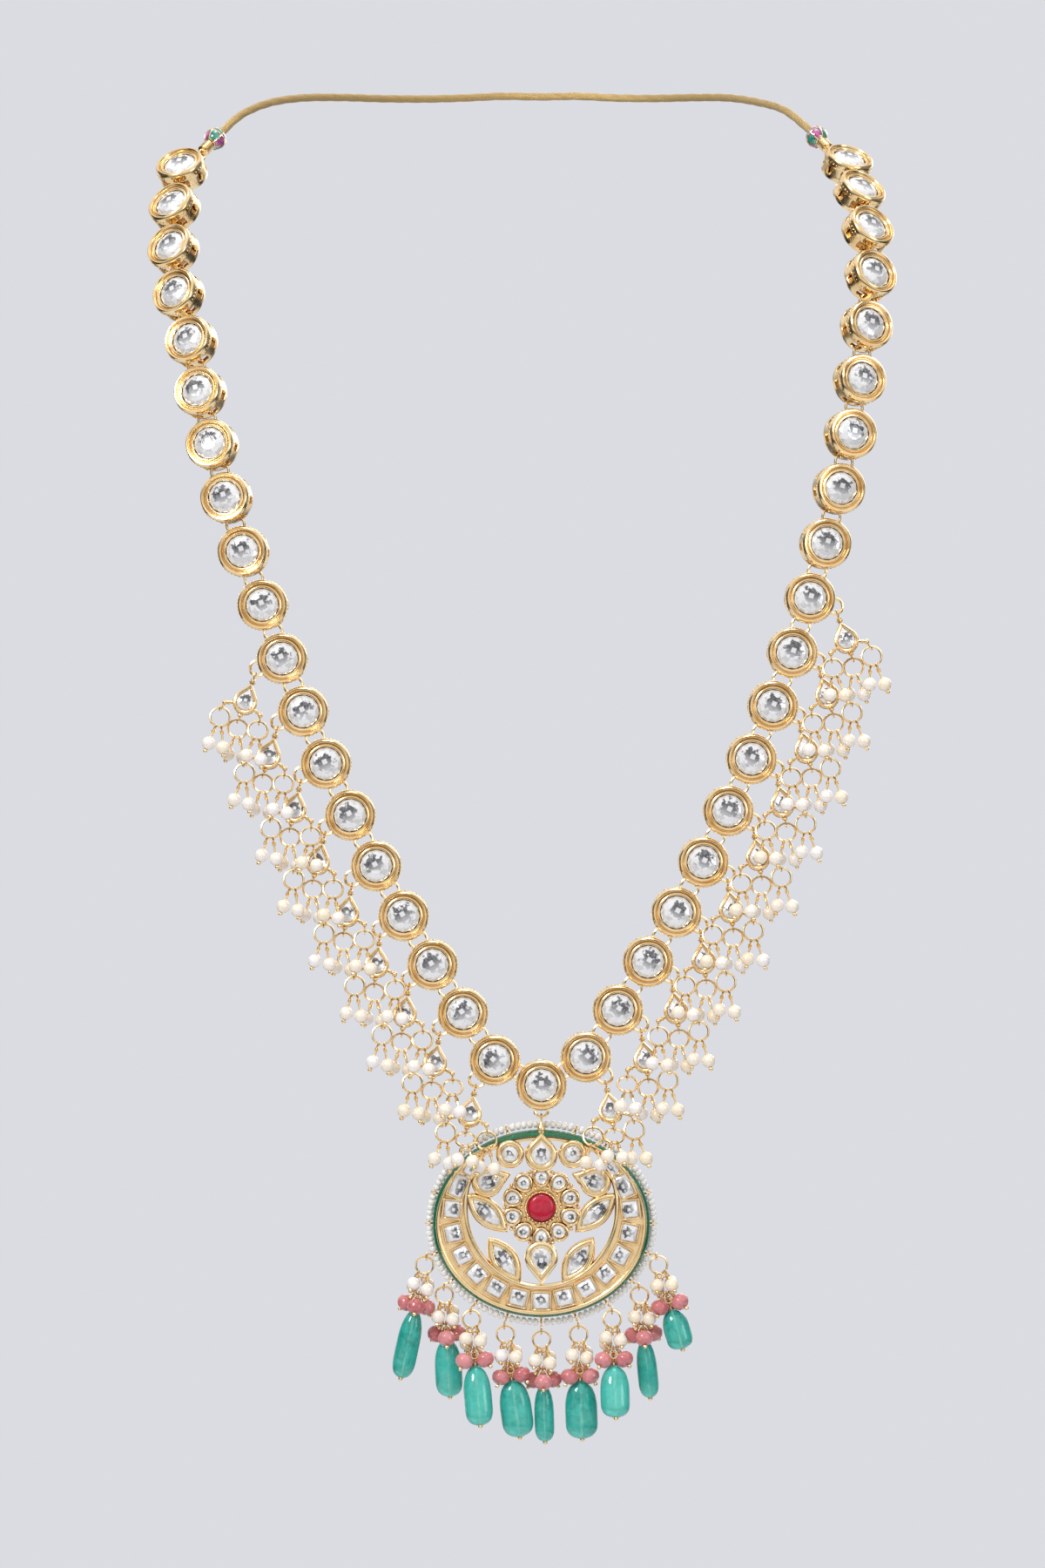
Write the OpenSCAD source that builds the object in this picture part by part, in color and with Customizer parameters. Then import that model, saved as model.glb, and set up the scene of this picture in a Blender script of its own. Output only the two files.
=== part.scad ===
// Kundan necklace: a chain of round stone-set links, pearl drops, a pierced crescent
// pendant and its fringe of beads, on a neck cord. Millimetres, +Z up, the front faces -Y.
// The origin is at the nape, on the cord, where the necklace hangs from a neck.

/* [Chain] */
// Distance between the centres of two links
pitch = 13.6; // [13.4:0.1:14]
// Distance from the centre link to each link beside it
centre_pitch = 12.6; // [12.4:0.1:13]
// Outer radius of a link
link_r = 6; // [5.9:0.1:6.1]
// Radius of a link's stone
stone_r = 3.8; // [3.4:0.1:3.9]
// Radius of the wire of the rings that join links
link_wire = 0.35; // [0.3:0.01:0.35]
// Depth of the centre link in front of the nape
chain_front = 115; // [110:1:125]
// Height of the centre link below the nape
chain_low = 252; // [245:1:260]

/* [Drops] */
// Radius of the round end of a pear-shaped setting
pear_r = 2.95; // [2.6:0.05:3]
// Radius of the rings that hold the pearls of a drop
drop_ring_r = 2.35; // [2.2:0.05:2.4]
// Radius of a pearl
pearl_r = 1.65; // [1.5:0.05:1.7]
// Radius of the wire of small rings, eyelets and pins
fine_wire = 0.3; // [0.25:0.01:0.3]

/* [Pendant] */
// Half width of the pendant's front rim
rim_w = 25.2; // [25:0.1:25.4]
// Half height of the pendant's front rim
rim_h = 21.6; // [21.4:0.1:21.8]
// Distance from the pendant's pivot down to the middle of its rim
pendant_drop = 25.5; // [25.3:0.1:26]
// Radius of the ruby
ruby_r = 3.3; // [3:0.1:3.4]
// Radius of a rose bead
rose_r = 2.15; // [1.9:0.05:2.15]

/* [Neck cord] */
// Diameter of the cord
cord_d = 2; // [1.8:0.1:2]
// Radius of the enamel beads at the cord's ends
enamel_bead_r = 2.7; // [2.4:0.1:2.8]

/* [Hidden] */
$fn = 40;
SIDE_LINKS = 19;
LINKS = 2 * SIDE_LINKS + 1;
LEFT_DROPS = [1:9];
RIGHT_DROPS = [1:10];

// The chain climbs from the centre link in steps. Columns: steps, then for the first and
// the last of them the heading outward from vertical, the slope to the back, and the
// roll that turns the links' faces outward, all in degrees.
LEFT_CHAIN = [
    [1, 62, 62, 0, 0, 0, 0],
    [9, 34, 20, 0, 0, 0, 2],
    [5, 20, 11, 2, 19, 5, 20],
    [4, 16, -6, 25, 41, 24, 30],
    [1, -38, -38, 40, 40, 30, 30],
];
RIGHT_CHAIN = [
    [1, 58, 58, 0, 0, 0, 0],
    [9, 34, 18, 0, 0, 0, 2],
    [5, 16, 8, 2, 13, 7, 24],
    [4, 6, -15, 21, 52, 28, 36],
    [1, -37, -37, 45, 45, 36, 36],
];

// Link, in its own frame: z = 0 is the middle of its windows and +z its face.
WINDOW = 1.2;
LINK_BACK = -2.3;
POST = [0.7, 1];
POST_R = 5.15;
HOLD_R = 4.65;
BEZEL = [
    [0, WINDOW], [link_r, WINDOW], [link_r, 2.7], [link_r - 0.3, 3.3], [link_r - 0.7, 3.5],
    [link_r - 0.9, 3.3], [link_r - 1, 2.8], [4.75, 3], [4.3, 3.1], [4, 2.8], [4, 1.8], [0, 1.8],
];

// Rings and eyelets
HOOK_R = 1.85;
HOOK_AT = 6.4;
EYE_R = 0.8;
PENDANT_RING_R = 1.6;
PENDANT_RING_AT = 6.15;

// Drop, in its own frame: its top eyelet is the origin, it hangs to -y and faces +z.
PEAR_AT = -7;
PEAR_TIP = 4.9;
SIDE_BALL = [4.5, -1.7];
SIDE_EYE = [4.81, PEAR_AT - 3.17];
LOW_EYE = [0, -11.5];

// How each drop hangs, counted from the centre link. Columns: swing outward and tilt
// forward of the setting, then the swing outward and the tilt forward of its inner,
// lower and outer pearls, all in degrees.
LEFT_HANG = [
    [12, 21, 0, 25, 1, 48, 8, 15],
    [9, 12, 0, 40, 0, -22, 2, 11],
    [8, 12, 2, 20, 2, -22, 4, 11],
    [6, 12, 0, 20, 1, -22, 2, 11],
    [9, 12, 2, 20, 2, -22, 4, 11],
    [14, 12, 4, 20, 2, -22, 6, 11],
    [12, 12, 2, 20, 2, -22, 4, 11],
    [16, 12, 6, 20, 4, -22, 6, 11],
    [20, 12, 8, 20, 6, -22, 8, 11],
];
RIGHT_HANG = [
    [10, 21, 0, 25, 1, 48, 8, 15],
    [8, 12, 0, 40, 2, -22, 4, 11],
    [8, 12, 2, 20, 2, -22, 4, 11],
    [6, 12, 0, 20, 1, -22, 2, 11],
    [6, 12, 2, 20, 2, -22, 4, 11],
    [9, 12, 4, 20, 2, -22, 6, 11],
    [10, 12, 4, 20, 4, -22, 6, 11],
    [14, 12, 6, 20, 4, -22, 6, 11],
    [16, 12, 6, 20, 6, -22, 8, 11],
    [18, 12, 8, 20, 8, -22, 10, 11],
];

// Pendant, in its own frame: its pivot is the origin, +y is up and it faces +z.
// Levels of the body, the enamel channel and the front rim
BODY_BACK = -2.6;
CHANNEL = [-1.6, 0.7];
RIM_FRONT = 2.3;
WALL = 0.8;
// The opening of the crescent: half width, half height and height above the rim's middle
HOLLOW = [17.6, 18.8, 4.2];
FLOWER = 4;
PETALS = 10;
PETAL_AT = 7;
PETAL_R = 2.25;
STRING = [26.8, 23.7];
STRING_Z = -2.1;
PEGS = 20;

// Stone cells of the pendant, the right-hand ones drawn and mirrored. Columns: shape,
// x, y from the rim's middle, turn, size, second size, height of the cell's top.
ROUND = 0;
PEAR = 1;
MARQUISE = 2;
CELLS = [
    [PEAR, 0, 16.4, 0, 3.9, 5.5, 2.2],
    [PEAR, 0, -8, 180, 4, 6.4, 2.2],
    [ROUND, 7.5, 16.7, 0, 3.4, 0, 1.9],
    [PEAR, 13, 10, 71, 3.7, 6.1, 2],
    [MARQUISE, 13, 2.7, -47, 13.6, 6.3, 2.1],
    [MARQUISE, 8.8, -8.7, -35, 13.4, 6.6, 2],
];
// Stones of the crescent. Columns: x, y from the rim's middle, turn, width, height.
CRESCENT_STONES = [
    [0, -18.3, 0, 3.3, 3.3],
    [5.5, -17.5, 14, 3.3, 3.3],
    [10.8, -15.2, 30, 3.3, 3.3],
    [15.4, -11.8, 46, 3.3, 3.3],
    [18.9, -7.4, 62, 3.3, 3.3],
    [21, -2.1, 78, 3.3, 3.3],
    [21.3, 3.6, 96, 3.3, 3.3],
    [19.8, 9.2, 112, 4.6, 2.9],
    [16.5, 13.9, 126, 4.2, 2],
];

// Fringe, from the left peg to the right one. Columns: peg angle, swing to the right,
// tilt forward, which way the rose beads stand, then width, depth and length of the drop.
FRINGE = [
    [-162, -12, 0, 1, 5.6, 4.6, 16.4],
    [-144, 3, -10, 1, 6.6, 5, 14],
    [-126, 5, 10, -1, 6.7, 5, 14.2],
    [-108, 8, 0, -1, 7.6, 5.4, 13.6],
    [-90, 2, -2, 1, 4.8, 4.4, 13.4],
    [-72, 2, 0, -1, 7.8, 5.4, 13.8],
    [-54, 2, 14, -1, 7, 5.2, 12.4],
    [-36, 6, -7, 1, 4.9, 4.4, 14],
    [-18, 16, 8, -1, 6.3, 4.8, 9.6],
];
FRINGE_RING_R = 2.1;
PEG_EYE = 2.15;

// Points along the neck cord from the left bead to the right one, chosen by hand
CORD = [
    [-75, -55, -12], [-68.5, -47, -8], [-60.5, -38, -5.5], [-51, -28, -4],
    [-41, -18.5, -3], [-30, -10.5, -2], [-20, -5, -1], [-10, -1, 0],
    [0, 0, 0], [10, -1, 0], [20, -5, -1], [30, -11.5, -2],
    [39.5, -20.5, -3], [48, -31, -4.5], [55, -41.5, -7], [61.5, -52, -10.5],
];

// Names of the nodes
function two_digits(i) = i < 10 ? str("0", i) : str(i);
function link_name(i) = str("link_", two_digits(i));

GOLD = "#d9a850";
CLEAR = "#dfe3ea";
PEARL = "#f3ead9";
ENAMEL = "#0c5c3c";

// The chain's layout

function unit(v) = v / norm(v);
function blend(row, c, i) = row[0] < 2 ? row[c] : row[c] + (row[c + 1] - row[c]) * i / (row[0] - 1);
function step_value(table, k, c, r = 0) =
    k <= table[r][0] ? blend(table[r], c, k - 1) : step_value(table, k - table[r][0], c, r + 1);
function table_of(side) = side < 0 ? LEFT_CHAIN : RIGHT_CHAIN;
// Direction of step k from the centre link on a side, -1 left or 1 right
function step_dir(side, k) =
    let (h = step_value(table_of(side), k, 1), b = step_value(table_of(side), k, 3))
    [side * sin(h) * cos(b), sin(b), cos(h) * cos(b)];
function step_length(k) = k == 1 ? centre_pitch : pitch;
function place(side, k) =
    k == 0 ? [0, -chain_front, -chain_low] : place(side, k - 1) + step_length(k) * step_dir(side, k);
LEFT_PLACES = [for (k = [0:SIDE_LINKS]) place(-1, k)];
RIGHT_PLACES = [for (k = [0:SIDE_LINKS]) place(1, k)];

function side_of(i) = sign(i - SIDE_LINKS - 1);
function step_of(i) = abs(i - SIDE_LINKS - 1);
function at(i) = side_of(i) < 0 ? LEFT_PLACES[step_of(i)] : RIGHT_PLACES[step_of(i)];
// The chain's direction through a link, and the way that its face looks
function along(i) =
    step_of(i) == 0 ? [0, 0, 1]
    : unit(step_dir(side_of(i), step_of(i)) + step_dir(side_of(i), step_of(i) + 1));
function facing(i) =
    let (t = along(i), n = unit([0, -1, 0] + t.y * t), side = side_of(i))
    let (roll = side == 0 ? 0 : step_value(table_of(side), step_of(i), 5))
    n * cos(roll) + side * cross(t, n) * sin(roll);
function frame_matrix(x, y, z, p) = [
    [x.x, y.x, z.x, p.x], [x.y, y.y, z.y, p.y], [x.z, y.z, z.z, p.z], [0, 0, 0, 1],
];
function link_frame(i) =
    let (y = along(i), z = facing(i)) frame_matrix(cross(y, z), y, z, at(i));
// A direction's angle in a link's own frame
function local_angle(i, v) = atan2(v * along(i), v * cross(along(i), facing(i)));
function lower_post(i) = local_angle(i, -step_dir(side_of(i), step_of(i)));
function upper_post(i) = local_angle(i, step_dir(side_of(i), step_of(i) + 1));
function between(a, b, n) = [for (j = [0:n - 1]) a + (b - a) * j / n];
CENTRE_POSTS = [local_angle(SIDE_LINKS + 1, step_dir(1, 1)), local_angle(SIDE_LINKS + 1, step_dir(-1, 1))];
function posts(i) =
    step_of(i) == 0
    ? concat(
        between(CENTRE_POSTS[0], CENTRE_POSTS[1], 3),
        between(CENTRE_POSTS[1], 270, 3),
        between(270, CENTRE_POSTS[0] + 360, 3)
    )
    : concat(
        between(lower_post(i), upper_post(i), 4),
        between(upper_post(i), lower_post(i) + 360, 4)
    );

// Shared shapes

module ring(r, wire) {
    rotate_extrude() translate([r, 0]) circle(wire);
}

// A ring whose hole looks along x
module eyelet() {
    rotate([0, 90, 0]) ring(EYE_R, fine_wire);
}

module bar(a, b, r) {
    v = b - a;
    translate(a) rotate([0, acos(v.z / norm(v)), atan2(v.y, v.x)]) cylinder(h = norm(v), r = r);
}

module ball(p, r) {
    translate(p) sphere(r);
}

// Turns a drawing's x and y, y up, to the world's front view
module upright() {
    rotate([90, 0, 0]) children();
}

function circle_outline(r, n) = [for (i = [0:n - 1]) r * [cos(360 * i / n), sin(360 * i / n)]];
function oval_outline(a, b, n) = [for (i = [0:n - 1]) [a * cos(360 * i / n), b * sin(360 * i / n)]];
// A circle of radius r round the origin, drawn out to a tip at height d
function pear_outline(r, d, n) =
    let (open = asin(r / d))
    concat([[0, d]], [for (i = [0:n]) let (a = open + (-180 - 2 * open) * i / n) r * [cos(a), sin(a)]]);
function lens_outline(l, w, n) = concat(
    [for (i = [0:n - 1]) let (y = -l / 2 + l * i / n) [w / 2 * (1 - pow(2 * y / l, 2)), y]],
    [for (i = [0:n - 1]) let (y = l / 2 - l * i / n) [-w / 2 * (1 - pow(2 * y / l, 2)), y]]
);
function cut_square(w, h, c) = [
    [w / 2, h / 2 - c], [w / 2 - c, h / 2], [c - w / 2, h / 2], [-w / 2, h / 2 - c],
    [-w / 2, c - h / 2], [c - w / 2, -h / 2], [w / 2 - c, -h / 2], [w / 2, c - h / 2],
];

// A cut stone: an outline stacked at levels [z, scale], the last one its table
module gem(outline, levels) {
    n = len(outline);
    m = len(levels);
    clockwise = outline[0] * [outline[1].y, -outline[1].x] < 0;
    points = [for (l = levels, p = outline) [p.x * l[1], p.y * l[1], l[0]]];
    sides = [for (j = [0:m - 2], i = [0:n - 1])
        let (a = j * n + i, b = j * n + (i + 1) % n)
        clockwise ? [a, b, b + n, a + n] : [a, a + n, b + n, b]];
    low = [for (i = [0:n - 1]) clockwise ? n - 1 - i : i];
    top = [for (i = low) m * n - 1 - i];
    polyhedron(points, concat(sides, [low, top]));
}

// A tube along points with a radius at each, its first cross-section turned by up
module tube(points, radii, up, sides = 8, closed = false) {
    n = len(points);
    function next(i) = closed ? (i + 1) % n : min(i + 1, n - 1);
    function last(i) = closed ? (i + n - 1) % n : max(i - 1, 0);
    corners = [for (i = [0:n - 1])
        let (t = unit(points[next(i)] - points[last(i)]), u = unit(cross(up, t)), v = cross(t, u))
        for (j = [0:sides - 1]) points[i] + radii[i] * (cos(360 * j / sides) * u + sin(360 * j / sides) * v)];
    walls = [for (i = [0:n - (closed ? 1 : 2)], j = [0:sides - 1])
        let (a = i * sides, b = next(i) * sides, k = (j + 1) % sides)
        [a + j, b + j, b + k, a + k]];
    caps = closed ? [] : [
        [for (j = [0:sides - 1]) j],
        [for (j = [sides - 1:-1:0]) (n - 1) * sides + j],
    ];
    polyhedron(corners, concat(walls, caps));
}

// The chain

module link_setting(i) {
    color(GOLD) multmatrix(link_frame(i)) {
        rotate_extrude() polygon(BEZEL);
        rotate_extrude() translate([POST_R - 0.2, LINK_BACK]) square([link_r - POST_R + 0.2, -LINK_BACK - WINDOW]);
        for (a = posts(i)) rotate([0, 0, a])
            translate([POST_R, -POST[1] / 2, -WINDOW - 0.3]) cube([POST[0], POST[1], 2 * WINDOW + 0.5]);
    }
}

module link_stones() {
    color(CLEAR) for (i = [1:LINKS]) multmatrix(link_frame(i))
        gem(circle_outline(stone_r, 10), [[1.9, 0.85], [2.4, 1], [3.5, 0.5]]);
}

function ring_frame(p, axis_like, d) =
    let (z = unit(axis_like - (axis_like * d) * d)) frame_matrix(cross(d, z), d, z, p);

module link_rings() {
    color(GOLD) for (i = [1:LINKS - 1]) {
        gap = at(i + 1) - at(i);
        multmatrix(ring_frame((at(i) + at(i + 1)) / 2, facing(i) + facing(i + 1), unit(gap)))
            ring(norm(gap) / 2 - HOLD_R, link_wire);
    }
    color(GOLD) for (side = [-1, 1]) multmatrix(end_frame(side))
        translate([0, 0, pitch / 2]) rotate([0, 90, 0]) ring(pitch / 2 - HOLD_R, link_wire);
}

module pendant_ring() {
    color(GOLD) translate(at(SIDE_LINKS + 1) - [0, 0, PENDANT_RING_AT])
        upright() ring(PENDANT_RING_R, link_wire);
}

// The cord and its ends

// Frame at the end of the chain, its z along the cord's way out
function end_frame(side) =
    let (z = step_dir(side, SIDE_LINKS + 1), n = side < 0 ? facing(1) : facing(LINKS))
    let (x = unit(n - (n * z) * z)) frame_matrix(x, cross(z, x), z, side < 0 ? at(1) : at(LINKS));
END_EYE = pitch - HOLD_R;
CRIMP = [END_EYE + 0.9, END_EYE + 4];
BEAD_AT = CRIMP[1] + enamel_bead_r + 0.2;

// The eyelet in the chain's last ring and the wound cap that grips the cord
module cord_end(side) {
    color(GOLD) multmatrix(end_frame(side)) difference() {
        union() {
            translate([0, 0, END_EYE]) rotate([90, 0, 0]) ring(EYE_R, fine_wire);
            translate([0, 0, CRIMP[0]]) cylinder(h = CRIMP[1] - CRIMP[0], r = 1.5);
        }
        translate([0, 0, CRIMP[0] + 0.8]) cylinder(h = 5, r = cord_d / 2 + 0.12);
    }
}

module enamel_bead(side) {
    color(ENAMEL) multmatrix(end_frame(side)) translate([0, 0, BEAD_AT]) difference() {
        sphere(enamel_bead_r);
        cylinder(h = 3 * enamel_bead_r, r = cord_d / 2 + 0.12, center = true);
    }
}

function on_end(side, d) = let (m = end_frame(side)) [for (r = [0:2]) m[r][3] + d * m[r][2]];
CORD_ENDS = [for (d = [CRIMP[0] + 1, BEAD_AT, BEAD_AT + enamel_bead_r + 0.5]) d];
function soften(a, b, c, d, t) =
    ((2 * b) + (c - a) * t + (2 * a - 5 * b + 4 * c - d) * t * t + (3 * b - a - 3 * c + d) * t * t * t) / 2;
CORD_ROUTE = concat(
    [for (d = CORD_ENDS) on_end(-1, d)],
    CORD,
    [for (j = [2:-1:0]) on_end(1, CORD_ENDS[j])]
);

module neck_cord() {
    n = len(CORD_ROUTE);
    path = concat(
        [for (i = [0:n - 2], t = [0, 1 / 3, 2 / 3])
            soften(CORD_ROUTE[max(i - 1, 0)], CORD_ROUTE[i], CORD_ROUTE[i + 1], CORD_ROUTE[min(i + 2, n - 1)], t)],
        [CORD_ROUTE[n - 1]]
    );
    color("#c9a04e") tube(path, [for (p = path) cord_d / 2], [0, 0, 1]);
}

// The drops

function hang(side, k) = side < 0 ? LEFT_HANG[k - 1] : RIGHT_HANG[k - 1];
function drop_link(side, k) = SIDE_LINKS + 1 + side * k;
// The post on the outer side of a link, and the hook ring's middle
function outer_post(side, k) =
    let (i = drop_link(side, k)) (lower_post(i) + upper_post(i) + (side < 0 ? 360 : 0)) / 2;
function hook_at(side, k) =
    let (i = drop_link(side, k), a = outer_post(side, k), y = along(i), x = cross(y, facing(i)))
    at(i) + HOOK_AT * (cos(a) * x + sin(a) * y);
function turned(p, swing, tilt) = [
    p.x * cos(swing) - p.y * cos(tilt) * sin(swing),
    p.y * sin(tilt),
    p.x * sin(swing) + p.y * cos(tilt) * cos(swing),
];
function top_eye(side, k) = hook_at(side, k) + turned([0, -HOOK_R], side * hang(side, k)[0], 0);
// The place in the world of a point of a drop's front view
function drop_point(side, k, p) =
    top_eye(side, k) + turned(p, side * hang(side, k)[0], hang(side, k)[1]);

module hung(side, swing, tilt) {
    upright() rotate([0, 0, side * swing]) rotate([-tilt, 0, 0]) children();
}

module each_drop() {
    for (k = LEFT_DROPS) {
        $side = -1;
        $k = k;
        children();
    }
    for (k = RIGHT_DROPS) {
        $side = 1;
        $k = k;
        children();
    }
}

module drop_hooks() {
    color(GOLD) each_drop() translate(hook_at($side, $k)) upright() ring(HOOK_R, link_wire);
}

module drop_setting() {
    difference() {
        translate([0, PEAR_AT, -1.3]) linear_extrude(2.4) polygon(pear_outline(pear_r, PEAR_TIP, 14));
        translate([0, PEAR_AT, -0.1]) linear_extrude(3) polygon(0.74 * pear_outline(pear_r, PEAR_TIP, 14));
    }
    eyelet();
    ball([0, -1.7, 0], 0.75);
    ball([0, -10.4, 0], 0.65);
    translate(LOW_EYE) eyelet();
    for (s = [-1, 1]) {
        bar([s * 2.6, PEAR_AT - 1, 0], [s * SIDE_BALL.x, PEAR_AT + SIDE_BALL.y, 0], 0.4);
        ball([s * SIDE_BALL.x, PEAR_AT + SIDE_BALL.y, 0], 0.65);
        translate([s * SIDE_EYE.x, SIDE_EYE.y, 0]) rotate([0, 0, s * 12]) eyelet();
    }
}

module drop_settings() {
    color(GOLD) each_drop() translate(top_eye($side, $k))
        hung($side, hang($side, $k)[0], hang($side, $k)[1]) drop_setting();
}

module drop_stones() {
    color(CLEAR) each_drop() translate(top_eye($side, $k))
        hung($side, hang($side, $k)[0], hang($side, $k)[1])
        translate([0, PEAR_AT, 0])
        gem(0.68 * pear_outline(pear_r, PEAR_TIP, 10), [[0, 0.9], [0.6, 1], [1.3, 0.5]]);
}

// A pin from a ring, through a pearl or bead, with its end ball
module beaded_pin(from, to, r, end_ball) {
    tail = to + (r + 0.35) * unit(to - from);
    bar(from, tail, 0.22);
    ball(to, r);
    ball(tail, end_ball);
}

module pearl_pair() {
    translate([0, -drop_ring_r, 0]) ring(drop_ring_r, fine_wire);
    for (s = [-1, 1])
        beaded_pin(
            drop_ring_r * [s * sin(17), -1 - cos(17), 0],
            [s * 1.8, -2 * drop_ring_r - 4.6 - 0.3 * s, 0],
            pearl_r, 0.55
        );
}

// Eyelets in the order inner, lower, outer
function eye_point(side, j) = j == 1 ? LOW_EYE : [side * (j - 1) * SIDE_EYE.x, SIDE_EYE.y];

module drop_pearls() {
    color(PEARL) each_drop() for (j = [0:2])
        translate(drop_point($side, $k, eye_point($side, j)))
        hung($side, hang($side, $k)[2 + 2 * j], hang($side, $k)[3 + 2 * j]) pearl_pair();
}

// The pendant

PIVOT = at(SIDE_LINKS + 1) - [0, 0, PENDANT_RING_AT + PENDANT_RING_R];

// The pendant's own frame, moved to the middle of its rim
module pendant_middle() {
    translate(PIVOT) upright() translate([0, -pendant_drop, 0]) children();
}

module oval(a, b, z0, z1, n = 60) {
    translate([0, 0, z0]) linear_extrude(z1 - z0) polygon(oval_outline(a, b, n));
}

module hollow() {
    translate([0, HOLLOW[2], 0]) oval(HOLLOW[0], HOLLOW[1], -5, 5);
}

module mirrored(x) {
    children();
    if (x > 0) mirror([1, 0, 0]) children();
}

function cell_outline(c, s) =
    c[0] == ROUND ? circle_outline(c[4] * s, 16)
    : c[0] == PEAR ? pear_outline(c[4] * s, c[5] * s, 14)
    : lens_outline(c[4] * s, c[5] * s, 8);

// Places children on each stone cell, c being its row
module each_cell() {
    for (c = CELLS) mirrored(c[1]) {
        $c = c;
        translate([c[1], c[2], 0]) rotate([0, 0, c[3]]) children();
    }
}

module each_crescent_stone() {
    for (c = CRESCENT_STONES) mirrored(c[0]) {
        $c = c;
        translate([c[0], c[1], 0]) rotate([0, 0, c[2]]) children();
    }
}

module each_petal() {
    for (i = [0:PETALS - 1]) translate([0, FLOWER, 0]) rotate([0, 0, 360 * i / PETALS])
        translate([0, PETAL_AT, 0]) children();
}

function on_string(a) = [STRING[0] * cos(a), STRING[1] * sin(a), STRING_Z];
function string_out(a) = unit([STRING[1] * cos(a), STRING[0] * sin(a), 0]);

module peg(a) {
    out = string_out(a);
    p = on_string(a);
    bar(p - 2.4 * out, p - EYE_R * out, 0.4);
    translate(p) rotate([0, 0, atan2(out.y, out.x) + 90]) eyelet();
    if (sin(a) < -0.25) {
        translate(p + PEG_EYE * out) eyelet();
        bar(p + EYE_R * out, p + PEG_EYE * out + [0, EYE_R, 0], 0.22);
    }
}

module stone_holes() {
    each_crescent_stone() translate([0, 0, RIM_FRONT - 1.2]) linear_extrude(3)
        polygon(cut_square($c[3] + 0.3, $c[4] + 0.3, 0.5));
}

module pendant_body() {
    difference() {
        oval(rim_w - WALL, rim_h - WALL, BODY_BACK, RIM_FRONT);
        hollow();
        stone_holes();
    }
    difference() {
        oval(rim_w - WALL - 0.1, rim_h - WALL - 0.1, BODY_BACK + 0.1, CHANNEL[1] - 0.1);
        oval(rim_w - 2 * WALL, rim_h - 2 * WALL, -5, 5);
    }
    difference() {
        oval(rim_w + 0.4, rim_h + 0.6, BODY_BACK - 0.1, CHANNEL[0]);
        oval(rim_w - 1.5 * WALL, rim_h - 1.5 * WALL, -5, 5);
    }
    difference() {
        oval(rim_w, rim_h, CHANNEL[1], RIM_FRONT - 0.1);
        oval(rim_w - 1.5 * WALL, rim_h - 1.5 * WALL, -5, 5);
        hollow();
        stone_holes();
    }
}

module pendant_flower() {
    each_cell() difference() {
        translate([0, 0, -1.8]) linear_extrude($c[6] + 1.8) polygon(cell_outline($c, 1));
        translate([0, 0, $c[6] - 1.4]) linear_extrude(3) polygon(cell_outline($c, 0.72));
    }
    each_petal() difference() {
        translate([0, 0, -1.5]) cylinder(h = 3, r = PETAL_R);
        translate([0, 0, 0.6]) cylinder(h = 3, r = 1.45);
    }
    translate([0, FLOWER, 0]) difference() {
        translate([0, 0, -1.7]) cylinder(h = 4.1, r = ruby_r + 0.75);
        translate([0, 0, 0.7]) cylinder(h = 3, r = ruby_r + 0.12);
    }
    translate([0, FLOWER, -1.9]) cylinder(h = 1, r = 6.4);
    translate([0, FLOWER, -2]) difference() {
        cylinder(h = 1, r = 9.8);
        translate([0, 0, -1]) cylinder(h = 4, r = 8.3);
    }
}

module pendant_frame() {
    color(GOLD) {
        pendant_middle() {
            pendant_body();
            pendant_flower();
            for (j = [0:PEGS - 1]) peg(-90 + 360 * j / PEGS);
        }
        translate(PIVOT) upright() {
            eyelet();
            ball([0, -1.7, 0], 1);
            bar([0, -1.7, 0], [0, -5, 0], 0.6);
        }
    }
}

module pendant_enamel() {
    color(ENAMEL) pendant_middle() difference() {
        oval(rim_w + 0.5, rim_h + 0.75, CHANNEL[0] + 0.1, CHANNEL[1] - 0.1);
        oval(rim_w - WALL + 0.12, rim_h - WALL + 0.12, -5, 5);
        each_cell() translate([0, 0, -3]) linear_extrude(6) polygon(cell_outline($c, 1.06));
        translate([-0.8, 0, -3]) cube([1.6, rim_h + 3, 6]);
    }
}

module pendant_ruby() {
    color("#b01030") pendant_middle() translate([0, FLOWER, 0])
        gem(circle_outline(ruby_r, 12), [[0.8, 0.9], [1.3, 1], [2.1, 1], [2.9, 0.7]]);
}

module pendant_stones() {
    color(CLEAR) pendant_middle() {
        each_cell() gem(cell_outline($c, 0.67), [[$c[6] - 1.3, 0.9], [$c[6] - 0.6, 1], [$c[6] + 0.1, 0.55]]);
        each_crescent_stone() gem(
            cut_square($c[3], $c[4], 0.45),
            [[RIM_FRONT - 1.1, 0.9], [RIM_FRONT - 0.4, 1], [RIM_FRONT + 0.3, 0.6]]
        );
    }
}

// The thread of seed beads: fat where beads sit between two pegs, thin through the pegs
module seed_bead_string() {
    turns = [0, 1.5, 1.7, 6.5, 11.5, 16.3, 16.5];
    wide = [0.25, 0.25, 0.9, 0.9, 0.9, 0.9, 0.25];
    color("#f4f4f0") pendant_middle() tube(
        [for (j = [0:PEGS - 1], t = turns) on_string(-90 + 360 * j / PEGS + t)],
        [for (j = [0:PEGS - 1], w = wide) w],
        [0, 0, 1], 6, true
    );
}

// The fringe

RING_BOTTOM = 2 * FRINGE_RING_R;
ROSE_TOP = RING_BOTTOM + EYE_R;
TEAL_EYE = ROSE_TOP + RING_BOTTOM + EYE_R;
TEAL_LOOP = 0.75;
TEAL_TOP = TEAL_EYE + 2 * TEAL_LOOP + 1.7;

// Places children at the outer eyelet of each fringe peg, hanging to -y
module each_cluster() {
    for (c = FRINGE) {
        $c = c;
        pendant_middle() translate(on_string(c[0]) + PEG_EYE * string_out(c[0]))
            rotate([0, 0, c[1]]) rotate([-c[2], 0, 0]) children();
    }
}

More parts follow.
